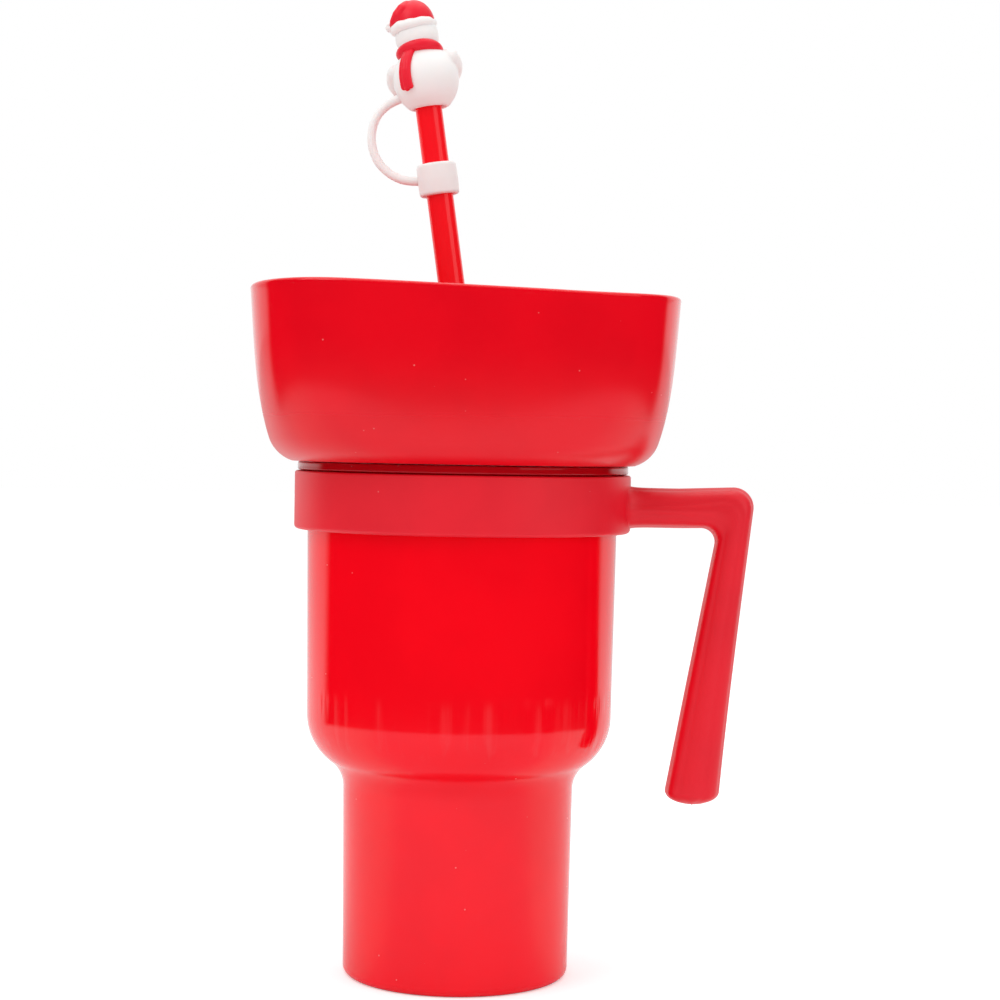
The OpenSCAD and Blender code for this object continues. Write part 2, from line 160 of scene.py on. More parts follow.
class Board:
    """A node tree with one way to add nodes."""

    def __init__(self, tree: bpy.types.NodeTree) -> None:
        """Empties the tree and keeps it."""
        self.tree = tree
        tree.nodes.clear()

    def node(
        self,
        kind: str,
        settings: dict[str, object] | None = None,
        *values: object,
        out: int | str = 0,
        **named: object,
    ) -> Wire:
        """Adds a node.

        Args:
            kind: The node's Blender type.
            settings: Node properties, set before its sockets. "stops" are a
                ramp's positions and colours.
            values: Values or wires for the input sockets in order.
            out: Name or number of the output to return.
            named: Values or wires by socket name, with _ for a space.

        Returns:
            The chosen output as a wire.
        """
        node = self.tree.nodes.new(kind)
        for key, setting in (settings or {}).items():
            if key == "stops":
                ramp = node.color_ramp
                while len(ramp.elements) < len(setting):
                    ramp.elements.new(0.5)
                for element, (place, colour) in zip(ramp.elements, setting):
                    element.position, element.color = place, (*colour, 1.0)
            else:
                setattr(node, key, setting)
        pairs = [(node.inputs[i], v) for i, v in enumerate(values)]
        pairs += [(node.inputs[k.replace("_", " ")], v) for k, v in named.items()]
        for socket, value in pairs:
            if isinstance(value, Wire):
                self.tree.links.new(value.socket, socket)
            elif value is not None:
                socket.default_value = value
        return Wire(self, node.outputs[out]) if node.outputs else Wire(self, None)

    def mix(self, factor: object, a: object, b: object) -> Wire:
        """Mixes two colours.

        Args:
            factor: Share of the second colour.
            a: First colour.
            b: Second colour.

        Returns:
            The mixed colour.
        """
        node = self.tree.nodes.new("ShaderNodeMix")
        node.data_type = "RGBA"
        for index, value in ((0, factor), (6, a), (7, b)):
            if isinstance(value, Wire):
                self.tree.links.new(value.socket, node.inputs[index])
            elif isinstance(value, (int, float)):
                node.inputs[index].default_value = value
            else:
                node.inputs[index].default_value = (*value, 1.0)
        return Wire(self, node.outputs[2])

    def noise(self, place: Wire, scale: float, detail: float = 2.0) -> Wire:
        """Noise at a scale in lumps a metre."""
        return self.node(
            "ShaderNodeTexNoise", None, Vector=place, Scale=scale, Detail=detail
        )

    def stretched(self, place: Wire, scale: Sequence[float]) -> Wire:
        """A place with each axis multiplied by its own number."""
        return self.node(
            "ShaderNodeVectorMath", {"operation": "MULTIPLY"}, place, tuple(scale)
        )

    def specks(self, place: Wire, scale: float, size: float, share: float) -> Wire:
        """Small round specks in a random share of the cells.

        Args:
            place: Object coordinates.
            scale: Cells a metre.
            size: Radius of a speck as a share of its cell.
            share: Share of the cells that hold one.

        Returns:
            A mask, 1 in a speck.
        """
        cell = {"feature": "F1", "distance": "EUCLIDEAN"}
        near = self.node(
            "ShaderNodeTexVoronoi", cell, Vector=place, Scale=scale, out="Distance"
        )
        tint = self.node(
            "ShaderNodeTexVoronoi", cell, Vector=place, Scale=scale, out="Color"
        )
        chance = self.node("ShaderNodeSeparateColor", None, tint)
        return near.step(size, size * 0.5) * chance.above(1.0 - share)


# ------------------------------------------------------------------- finishes

CLOUD_SCALE = 28.0  # colour clouds a metre
DUST_SCALE = 320.0  # cells a metre, of which some hold a speck of dust
DUST_SIZE = 0.11  # a speck's radius as a share of its cell
DUST_TINT = (0.8, 0.5, 0.45)
DUST_SHOW = 0.28  # how much of its tint a speck shows
DUST_ROUGH = 0.3  # roughness that a speck adds


@dataclass(frozen=True)
class Finish:
    """One material: its colour and how light leaves it.

    Attributes:
        name: Material name.
        colour: Linear base colour.
        rough: Roughness of the surface.
        grain: Depth of the moulded grain, mm.
        grain_scale: Grains a metre.
        drift: How far the colour wanders, as a share.
        dust: Share of the cells with a pale speck.
        ior: Refractive index, which sets the strength of reflections.
        soft: Weight of light scattered below the surface.
    """

    name: str
    colour: Colour
    rough: float
    grain: float = 0.01
    grain_scale: float = 1500.0
    drift: float = 0.05
    dust: float = 0.0
    ior: float = 1.49
    soft: float = 0.0

    def shade(self, board: Board, place: Wire) -> tuple[Wire, Wire, Wire]:
        """Works out what varies over the surface.

        Args:
            board: The material's nodes.
            place: Object coordinates in metres.

        Returns:
            Colour, roughness and height wires.
        """
        cloud = board.noise(place, CLOUD_SCALE, 3.0)
        fine = board.noise(place, self.grain_scale, 2.0)
        deep = tuple(c * (1.0 - self.drift) for c in self.colour)
        pale = tuple(min(1.0, c * (1.0 + self.drift)) for c in self.colour)
        colour = board.mix(cloud.step(0.35, 0.65), deep, pale)
        rough = self.rough * (0.88 + cloud * 0.24)
        if self.dust:
            speck = board.specks(place, DUST_SCALE, DUST_SIZE, self.dust)
            colour = board.mix(speck * DUST_SHOW, colour, DUST_TINT)
            rough = rough + speck * DUST_ROUGH
        return colour, rough, fine * (self.grain * MM)

    def material(self) -> bpy.types.Material:
        """Makes the Blender material."""
        made = bpy.data.materials.new(self.name)
        made.use_nodes = True
        made.diffuse_color = (*self.colour, 1.0)
        board = Board(made.node_tree)
        place = board.node("ShaderNodeTexCoord", None, out="Object")
        colour, rough, height = self.shade(board, place)
        bump = board.node(
            "ShaderNodeBump", None, Strength=1.0, Distance=1.0, Height=height
        )
        shader = board.node(
            "ShaderNodeBsdfPrincipled",
            None,
            Base_Color=colour,
            Roughness=rough,
            Normal=bump,
            IOR=self.ior,
            Subsurface_Weight=self.soft,
            Subsurface_Radius=(0.6, 0.5, 0.45),
            Subsurface_Scale=0.002,
        )
        board.node("ShaderNodeOutputMaterial", None, shader)
        return made


@dataclass(frozen=True)
class CupGloss(Finish):
    """Glossy cup plastic with pale drag streaks over the shoulder, scuffs, and shade painted
    on the rim's flange.

    Attributes:
        streak_low: Height where the streaks are full, mm.
        streak_high: Greatest height that a streak reaches, mm.
        streak_lean: How far the streaks tilt the surface.
        streak_scale: Streaks a metre round the cup.
        patch_scale: Patches of streaks a metre round the cup.
        fade_low: Height over which the streaks fade below, mm.
        fade_high: Height over which they fade above, mm.
        scuff_scale: Scuffs a metre.
        painted_shade_from: Height from which shade is painted on the rim's flange, mm.
        painted_shade_blur: Half the height over which that painted shade sets in, mm.
        streak_tint: Colour of the streaks.
        scuff_tint: Colour of the scuffs.
        painted_shade_colour: Colour of the shade painted on the rim's flange, between the
            bowl and the handle's ring.
    """

    streak_low: float = 80.0
    streak_high: float = 93.0
    streak_lean: float = 0.07
    streak_scale: float = 260.0
    patch_scale: float = 60.0
    fade_low: float = 4.0
    fade_high: float = 5.0
    scuff_scale: float = 420.0
    painted_shade_from: float = 167.8
    painted_shade_blur: float = 0.4
    streak_tint: Colour = (0.9, 0.35, 0.35)
    scuff_tint: Colour = (0.32, 0.02, 0.04)
    painted_shade_colour: Colour = (0.28, 0.0, 0.003)

    def shade(self, board: Board, place: Wire) -> tuple[Wire, Wire, Wire]:
        """Adds the streaks, the scuffs and the painted shade on the flange to the plain
        plastic.

        Args:
            board: The material's nodes.
            place: Object coordinates in metres.

        Returns:
            Colour, roughness and height wires.
        """
        colour, rough, height = super().shade(board, place)
        rise = board.node("ShaderNodeSeparateXYZ", None, place, out="Z") / MM
        fine_stretch = board.stretched(place, (1.0, 1.0, 0.03))
        column = board.noise(fine_stretch, self.streak_scale, 5.0)
        wide_stretch = board.stretched(place, (1.0, 1.0, 0.02))
        patch = board.noise(wide_stretch, self.patch_scale, 1.0)
        middle = (self.streak_low + self.streak_high) / 2
        lower = rise.step(self.streak_low - self.fade_low, self.streak_low)
        upper = rise.step(self.streak_high + self.fade_high, self.streak_high)
        window = lower * upper
        lean = (column - 0.5) * (patch.step(0.42, 0.62) * self.streak_lean)
        height = height + lean * window * (rise - middle) * MM
        streak = window * column.step(0.5, 0.7)
        colour = board.mix(streak * 0.04, colour, self.streak_tint)
        scratch = board.noise(place, self.scuff_scale, 5.0).step(0.735, 0.78)
        scuff = scratch * board.noise(place, 45.0, 1.0).step(0.6, 0.72)
        colour = board.mix(scuff * 0.35, colour, self.scuff_tint)
        # Painted shade: the flange under the bowl, above the handle's ring, is darkened in
        # its colour.
        painted_shade_mask = rise.step(self.painted_shade_from - self.painted_shade_blur, self.painted_shade_from + self.painted_shade_blur)
        colour = board.mix(painted_shade_mask * 0.8, colour, self.painted_shade_colour)
        return colour, rough + streak * 0.05 + scuff * 0.2, height


@dataclass(frozen=True)
class BowlGloss(Finish):
    """Bowl plastic, glossy at the rim and duller towards its foot.

    Attributes:
        dull_low: Height where the plastic is dullest, mm.
        dull_high: Height where it is as glossy as at the rim, mm.
        dull: Roughness added at the foot.
        fall: Power of its fall towards the rim.
    """

    dull_low: float = 176.0
    dull_high: float = 216.0
    dull: float = 0.2
    fall: float = 1.6

    def shade(self, board: Board, place: Wire) -> tuple[Wire, Wire, Wire]:
        """Adds the dull foot to the plain plastic.

        Args:
            board: The material's nodes.
            place: Object coordinates in metres.

        Returns:
            Colour, roughness and height wires.
        """
        colour, rough, height = super().shade(board, place)
        rise = board.node("ShaderNodeSeparateXYZ", None, place, out="Z") / MM
        foot = rise.step(self.dull_high, self.dull_low) ** self.fall
        return colour, rough + foot * self.dull, height


CUP_GLOSS = CupGloss(
    "cup_gloss", (0.93, 0.0004, 0.008), 0.10, grain=0.0015, drift=0.03, dust=0.05
)
BOWL_GLOSS = BowlGloss(
    "bowl_gloss",
    (0.78, 0.0008, 0.009),
    0.12,
    grain=0.003,
    drift=0.04,
    dust=0.10,
    ior=1.44,
)
HANDLE_SATIN = Finish(
    "handle_satin",
    (0.79, 0.004, 0.018),
    0.40,
    grain=0.02,
    drift=0.04,
    dust=0.02,
    ior=1.42,
)
STRAW_GLOSS = Finish("straw_gloss", (1.0, 0.006, 0.014), 0.14, grain=0.002, drift=0.0)
SEAL_RUBBER = Finish("seal_rubber", (0.80, 0.78, 0.75), 0.5)
SOFT_WHITE = Finish(
    "silicone_white", (0.90, 0.87, 0.855), 0.46, grain=0.012, drift=0.02, soft=0.25
)
SOFT_RED = Finish(
    "silicone_red", (0.82, 0.010, 0.030), 0.36, grain=0.012, drift=0.06, ior=1.33
)
COAL = Finish("silicone_coal", (0.018, 0.018, 0.02), 0.45, grain=0.02)
CARROT = Finish("silicone_carrot", (0.86, 0.26, 0.04), 0.45, grain=0.02, drift=0.08)


class Palette:
    """Makes each finish's material once."""

    def __init__(self) -> None:
        """Starts with no material."""
        self.made: dict[str, bpy.types.Material] = {}

    def get(self, finish: Finish) -> bpy.types.Material:
        """The finish's material.

        Args:
            finish: The finish asked for.

        Returns:
            Its material, made at the first call.
        """
        if finish.name not in self.made:
            self.made[finish.name] = finish.material()
        return self.made[finish.name]


PALETTE = Palette()


# ------------------------------------------------------------------ mesh tools


def arc(
    cx: float, cz: float, r: float, start: float, end: float, steps: int = 8
) -> list[Point]:
    """Points of an arc in a profile's plane.

    Args:
        cx: Radius of the arc's centre.
        cz: Height of the arc's centre.
        r: Radius of the arc.
        start: Angle of its first point, degrees.
        end: Angle of its last point, degrees.
        steps: Steps between them.

    Returns:
        The points, both ends included.
    """
    turns = [math.radians(start + (end - start) * i / steps) for i in range(steps + 1)]
    return [(cx + r * math.cos(t), cz + r * math.sin(t)) for t in turns]


def splined(knots: Sequence[Point], fine: int) -> list[Point]:
    """A smooth curve through its knots.

    Args:
        knots: Two or more points.
        fine: Steps between one knot and the next.

    Returns:
        The curve's points, both ends included.
    """
    pts = [Vector(knot) for knot in knots]
    ends = [pts[0] * 2 - pts[1], *pts, pts[-1] * 2 - pts[-2]]
    curve = []
    for p0, p1, p2, p3 in zip(ends, ends[1:], ends[2:], ends[3:]):
        for k in range(fine):
            t = k / fine
            square = (2 * p0 - 5 * p1 + 4 * p2 - p3) * t * t
            cube = (3 * p1 - p0 - 3 * p2 + p3) * t**3
            curve.append(0.5 * (2 * p1 + (p2 - p0) * t + square + cube))
    return [(point.x, point.y) for point in [*curve, pts[-1]]]


def braced(profile: Sequence[Point], closed: bool, near: float = 0.35) -> list[Point]:
    """Adds a point close to each end of the long stretches of a profile, so that
    smooth shading bends only at the corners.

    Args:
        profile: The points in order.
        closed: Whether the last point joins the first.
        near: Distance of an added point from its corner.

    Returns:
        The profile with the added points.
    """
    made = []
    ends = [*profile[1:], profile[0]] if closed else [*profile[1:], None]
    for here, there in zip(profile, ends):
        made.append(here)
        if there is None:
            continue
        dx, dz = there[0] - here[0], there[1] - here[1]
        reach = math.hypot(dx, dz)
        if reach > near * 6:
            for t in (near / reach, 1 - near / reach):
                made.append((here[0] + dx * t, here[1] + dz * t))
    return made


def linked(name: str, mesh: bpy.types.Mesh) -> bpy.types.Object:
    """Makes an object of a mesh.

    Args:
        name: The object's name.
        mesh: Its mesh.

    Returns:
        The object, in the scene and at the origin.
    """
    obj = bpy.data.objects.new(name, mesh)
    bpy.context.scene.collection.objects.link(obj)
    return obj


class Form:
    """A mesh in the making, in millimetres, that becomes one named piece."""

    def __init__(self) -> None:
        """Starts with an empty mesh."""
        self.bm: BMesh = bmesh.new()

    def turned(
        self, profile: Sequence[Point], closed: bool = False, steps: int = TURN_STEPS
    ) -> "Form":
        """Spins a profile of (radius, height) points once round the Z axis.

        Args:
            profile: The points in order.
            closed: Whether the last point joins the first.
            steps: Faces round the axis.

        Returns:
            The form itself.
        """
        verts = [self.bm.verts.new((x, 0.0, z)) for x, z in braced(profile, closed)]
        pairs = list(zip(verts, verts[1:])) + ([(verts[-1], verts[0])] if closed else [])
        edges = [self.bm.edges.new(pair) for pair in pairs]
        bmesh.ops.spin(
            self.bm,
            geom=[*verts, *edges],
            axis=(0, 0, 1),
            cent=(0, 0, 0),
            angle=math.tau,
            steps=steps,
            use_merge=True,
        )
        bmesh.ops.remove_doubles(self.bm, verts=self.bm.verts, dist=1e-4)
        return self

    def drawn(self, rings: Sequence[Ring], closed: bool = False) -> "Form":
        """Draws a skin from ring to ring by extruding the first one.

        Args:
            rings: Rings of equally many points, in order.
            closed: Whether the last ring joins the first; else both are capped.

        Returns:
            The form itself.
        """
        bm = self.bm
        loop = [bm.verts.new(place) for place in rings[0]]
        edges = [bm.edges.new(pair) for pair in zip(loop, [*loop[1:], loop[0]])]
        first_edges = edges
        for ring in rings[1:]:
            made = bmesh.ops.extrude_edge_only(bm, edges=edges)["geom"]
            fresh = {v for v in made if isinstance(v, BMVert)}
            loop = [
                next(w for w in (e.other_vert(v) for e in v.link_edges) if w in fresh)
                for v in loop
            ]
            edges = [
                e
                for e in made
                if isinstance(e, BMEdge) and e.verts[0] in fresh and e.verts[1] in fresh
            ]
            for vert, place in zip(loop, ring):
                vert.co = place
        if closed:
            bmesh.ops.bridge_loops(bm, edges=[*first_edges, *edges])
        else:
            bmesh.ops.contextual_create(bm, geom=first_edges)
            bmesh.ops.contextual_create(bm, geom=edges)
        return self

    def ball(self, centre: Sequence[float], r: float) -> "Form":
        """Adds a ball."""
        matrix = Matrix.Translation(centre)
        bmesh.ops.create_icosphere(self.bm, subdivisions=4, radius=r, matrix=matrix)
        return self

    def moved(self, matrix: Matrix) -> "Form":
        """Moves the whole form by a matrix in millimetres."""
        bmesh.ops.transform(self.bm, matrix=matrix, verts=self.bm.verts)
        return self

    def mesh(self, name: str, sharp: float = 42.0) -> bpy.types.Mesh:
        """Turns the form into a smooth-shaded mesh in metres.

        Args:
            name: The mesh's name.
            sharp: Angle over which edges are shaded sharp, degrees.

        Returns:
            The mesh. The form is used up.
        """
        bmesh.ops.recalc_face_normals(self.bm, faces=self.bm.faces)
        bmesh.ops.scale(self.bm, vec=(MM, MM, MM), verts=self.bm.verts)
        mesh = bpy.data.meshes.new(name)
        self.bm.to_mesh(mesh)
        self.bm.free()
        mesh.shade_smooth()
        mesh.set_sharp_from_angle(angle=math.radians(sharp))
        return mesh


def piece(
    name: str,
    mesh: bpy.types.Mesh,
    body: Body,
    finish: Finish,
    nodes: Iterable[str] = (),
) -> bpy.types.Object:
    """Makes one piece of the object and dresses it.

    Args:
        name: The piece's name.
        mesh: Its mesh in the frame's metres.
        body: The body that it rides on.
        finish: Its finish.
        nodes: CAD nodes that it stands for.

    Returns:
        The new object, at the origin.
    """
    obj = linked(name, mesh)
    mesh.materials.clear()
    mesh.materials.append(PALETTE.get(finish))
    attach(obj, body.value)
    if nodes:
        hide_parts(*nodes)
    log.info("%s: %d faces on %s", name, len(mesh.polygons), body.value)
    return obj


def dress(node: str, finish: Finish) -> None:
    """Gives a CAD node that stays its material.

    Args:
        node: The node's name.
        finish: Its finish.
    """
    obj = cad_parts[node]
    obj.data.materials.clear()
    obj.data.materials.append(PALETTE.get(finish))
    log.info("%s: CAD node dressed in %s", node, finish.name)


def applied(obj: bpy.types.Object) -> Form:
    """Applies an object's modifiers.

    Args:
        obj: The object, in metres.

    Returns:
        A new form of the result, in millimetres.
    """
    bpy.context.view_layer.update()
    graph = bpy.context.evaluated_depsgraph_get()
    result = bpy.data.meshes.new_from_object(obj.evaluated_get(graph))
    form = Form()
    form.bm.from_mesh(result)
    bmesh.ops.scale(form.bm, vec=(1 / MM, 1 / MM, 1 / MM), verts=form.bm.verts)
    bpy.data.meshes.remove(result)
    return form


def melted(form: Form, voxel: float, rounds: int) -> Form:
    """Melts overlapping shapes into one soft skin.

    Args:
        form: Closed shapes that overlap.
        voxel: Size of the remesh, mm.
        rounds: Rounds of smoothing.

    Returns:
        A new form with the one skin, in millimetres.
    """
    mesh = form.mesh("melting")
    obj = linked("melting", mesh)
    remesh = obj.modifiers.new("skin", "REMESH")
    remesh.mode, remesh.voxel_size = "VOXEL", voxel * MM
    smooth = obj.modifiers.new("soften", "SMOOTH")
    smooth.factor, smooth.iterations = 0.5, rounds
    skin = applied(obj)
    bpy.data.objects.remove(obj)
    bpy.data.meshes.remove(mesh)
    return skin


def carved(form: Form, tool: Form) -> Form:
    """Cuts one closed form out of another.

    Args:
        form: The closed form that is cut.
        tool: The closed form that is taken away.

    Returns:
        A new form with what is left, in millimetres.
    """
    body, cutter = (linked("carving", each.mesh("carving")) for each in (form, tool))
    cut = body.modifiers.new("cut", "BOOLEAN")
    cut.operation, cut.solver, cut.object = "DIFFERENCE", "EXACT", cutter
    left = applied(body)
    for obj in (body, cutter):
        mesh = obj.data
        bpy.data.objects.remove(obj)
        bpy.data.meshes.remove(mesh)
    return left


def tube_rings(path: Sequence[Vector], radii: Sequence[float], n: int = 24) -> list[Ring]:
    """Rings of a tube along a path in the XZ plane.

    Args:
        path: Points of the tube's middle.
        radii: Its radius at each point.
        n: Points in a ring.

    Returns:
        One ring for each point.
    """
    rings = []
    side = Vector((0, 1, 0))
    for i, (place, r) in enumerate(zip(path, radii)):
        ahead = path[min(i + 1, len(path) - 1)] - path[max(i - 1, 0)]
        up = ahead.normalized().cross(side)
        turns = [math.tau * k / n for k in range(n)]
        rings.append(
            [place + r * (math.cos(t) * side + math.sin(t) * up) for t in turns]
        )
    return rings


def roll_ring(place: Vector, out: Vector, r: float, n: int = 20) -> Ring:
    """One round ring of a roll that runs about the Z axis.

    Args:
        place: Middle of the ring.
        out: Direction away from the axis.
        r: Radius of the ring.
        n: Points in it.

    Returns:
        The ring's points.
    """
    turns = [math.tau * k / n for k in range(n)]
    return [
        place + r * (math.cos(a) * out + Vector((0, 0, math.sin(a)))) for a in turns
    ]


# -------------------------------------------------------------- sub-assemblies


@dataclass
class Thread:
    """Helical ridges of the four-start thread between the bowl and the cup.

    Attributes:
        root_r: Radius of the wall that the ridges stand on.
        crest_r: Radius of their crests.
        low: Height where the ridges start.
        rise: Height that each ridge climbs.
        lead: Climb in a full turn.
        starts: Number of ridges.
        width: Width of a ridge at its root.
        phase: Turn of the first ridge, degrees.
        sink: Depth of the ridges' feet in the wall.
        run_out: Steepness of the ridges' ends, full height in 1 / run_out.
        steps: Steps along a ridge.
    """

    root_r: float
    crest_r: float
    low: float
    rise: float
    phase: float
    lead: float = 16.0
    starts: int = 4
    width: float = 1.5
    sink: float = 0.4
    run_out: float = 8.0
    steps: int = 40

    def add(self, form: Form) -> None:
        """Adds every ridge to a form.

        Args:
            form: The form whose wall carries the thread.
        """
        sink = self.sink if self.crest_r > self.root_r else -self.sink
        for start in range(self.starts):
            rings = []
            for i in range(self.steps + 1):
                share = i / self.steps
                swell = min(1.0, min(share, 1.0 - share) * self.run_out + 0.05)
                z = self.low + self.rise * share
                turns = start / self.starts + self.rise * share / self.lead
                turn = math.radians(self.phase + 360.0 * turns)
                crest = self.root_r + (self.crest_r - self.root_r) * swell
                section = [
                    (self.root_r - sink, -self.width / 2),
                    (self.root_r, -self.width / 2),
                    (crest, -self.width / 5),
                    (crest, self.width / 5),
                    (self.root_r, self.width / 2),
                    (self.root_r - sink, self.width / 2),
                ]
                rings.append(
                    [
                        Vector((r * math.cos(turn), r * math.sin(turn), z + dz))
                        for r, dz in section
                    ]
                )
            form.drawn(rings)


@dataclass
class Cup:
    """The stepped cup, in one moulding.

    Attributes:
        foot_r: Radius of the foot, and narrow_r of the lower part above it.
        narrow_h: Height where the shoulder's hollow bend starts.
        seat_r: Radius of the seat that the handle's ring turns in.
        wide_r: Radius of the upper part at the shoulder.
        taper: How much wider the upper part is at the seat.
        mouth_r: Radius of the mouth, under the seal's rebate.
        flange_r: Radius of the rim's flange, from flange_z up to top_z.
        hollow_r: Radius of the shoulder's lower bend.
        shoulder_r: Radius of its upper bend.
        foot_edge_r: Radius of the foot's edge.
        wall: Thickness of the wall.
        floor_z: Height of the inside floor.
        recess: Depth of the recess under the foot.
        seat_z: Lower end of the seat.
        snap_z: Height of the bead that holds the ring.
        rebate_r: Radius of the seal's rebate, down to rebate_z.
        neck_z: Lower end of the thread's neck.
        thread_r: Crest radius of the thread, from thread_z up by thread_h.
    """

    foot_r: float = 37.6
    narrow_r: float = 38.4
    narrow_h: float = 62.4
    seat_r: float = 51.6
    wide_r: float = 50.8
    taper: float = 0.75
    mouth_r: float = 48.5
    flange_r: float = 55.1
    flange_z: float = 167.9
    top_z: float = 170.6
    hollow_r: float = 11.0
    shoulder_r: float = 19.2
    foot_edge_r: float = 2.6
    wall: float = 2.0
    floor_z: float = 3.6
    recess: float = 1.5
    seat_z: float = 147.4
    snap_z: float = 151.4
    rebate_r: float = 50.5
    rebate_z: float = 169.0
    neck_z: float = 156.9
    thread_r: float = 47.45
    thread_z: float = 160.4
    thread_h: float = 6.6

    def shoulder(self, inset: float, steps: int = 22) -> list[Point]:
        """The two tangent bends of the shoulder.

        Args:
            inset: How far the profile is moved into the wall.
            steps: Steps along each bend.

        Returns:
            The profile from the lower part up to the upper one.
        """
        reach = self.hollow_r + self.shoulder_r
        turn = math.acos(1 - (self.wide_r - self.narrow_r) / reach)
        lift = reach * math.sin(turn)
        angle = math.degrees(turn)
        lower = arc(
            self.narrow_r + self.hollow_r,
            self.narrow_h,
            self.hollow_r + inset,
            180,
            180 - angle,
            steps,
        )
        upper = arc(
            self.wide_r - self.shoulder_r,
            self.narrow_h + lift,
            self.shoulder_r - inset,
            -angle,
            0,
            steps,
        )
        return lower + upper[1:]

    def outside(self) -> list[Point]:
        """The profile from the middle of the foot up to the rim."""
        foot_in = self.foot_r - 4.0
        edge = self.foot_edge_r
        corner = 0.6
        return [
            (0.0, self.recess),
            (foot_in - 6.0, self.recess),
            *arc(foot_in - 2.3, self.recess - 0.8, 0.8, 90, 30, 4),
            *arc(foot_in, 0.7, 0.7, 210, 270, 4),
            *arc(self.foot_r - edge, edge, edge, -90, 0, 10),
            *self.shoulder(0.0),
            (self.wide_r + self.taper, self.seat_z + 1.6),
            (self.seat_r, self.seat_z + 2.0),
            (self.seat_r, self.snap_z - 0.4),
            (self.seat_r - 0.4, self.snap_z),
            (self.seat_r, self.snap_z + 0.4),
            (self.seat_r, self.flange_z - 0.2),
            (self.seat_r + 0.2, self.flange_z),
            *arc(self.flange_r - corner, self.flange_z + corner, corner, -90, 0, 6),
            *arc(self.flange_r - corner, self.top_z - corner, corner, 0, 90, 6),
        ]

    def inside(self) -> list[Point]:
        """The profile from the rim's rebate down to the middle of the floor."""
        inner = self.seat_r - self.wall
        return [
            (self.rebate_r + 0.3, self.top_z),
            (self.rebate_r, self.top_z - 0.3),
            (self.rebate_r, self.rebate_z),
            (self.mouth_r + 0.2, self.rebate_z),
            (self.mouth_r, self.rebate_z - 0.3),
            (self.mouth_r, self.neck_z + 0.6),
            (self.mouth_r + 0.3, self.neck_z),
            (inner, self.neck_z - (inner - self.mouth_r)),
            (inner, self.seat_z),
            *reversed(self.shoulder(self.wall)),
            *arc(self.foot_r - self.wall - 6.0, self.floor_z + 6.0, 6.0, 0, -90, 10),
            (0.0, self.floor_z),
        ]

    def build(self) -> None:
        """Builds the cup with its thread and the gate's mark under its foot."""
        form = Form().turned(self.outside() + self.inside())
        Thread(
            self.mouth_r, self.thread_r, self.thread_z, self.thread_h, phase=45.0
        ).add(form)
        gate_top = self.recess + 0.3
        form.turned(
            [
                (0.0, self.recess - 0.7),
                *arc(1.8, self.recess - 0.2, 0.5, -90, 0, 4),
                (2.3, gate_top),
                (0.0, gate_top),
            ],
            steps=32,
        )
        mesh = form.mesh("cup_shell")
        piece("cup_shell", mesh, Body.CUP, CUP_GLOSS, ["cup_body"])


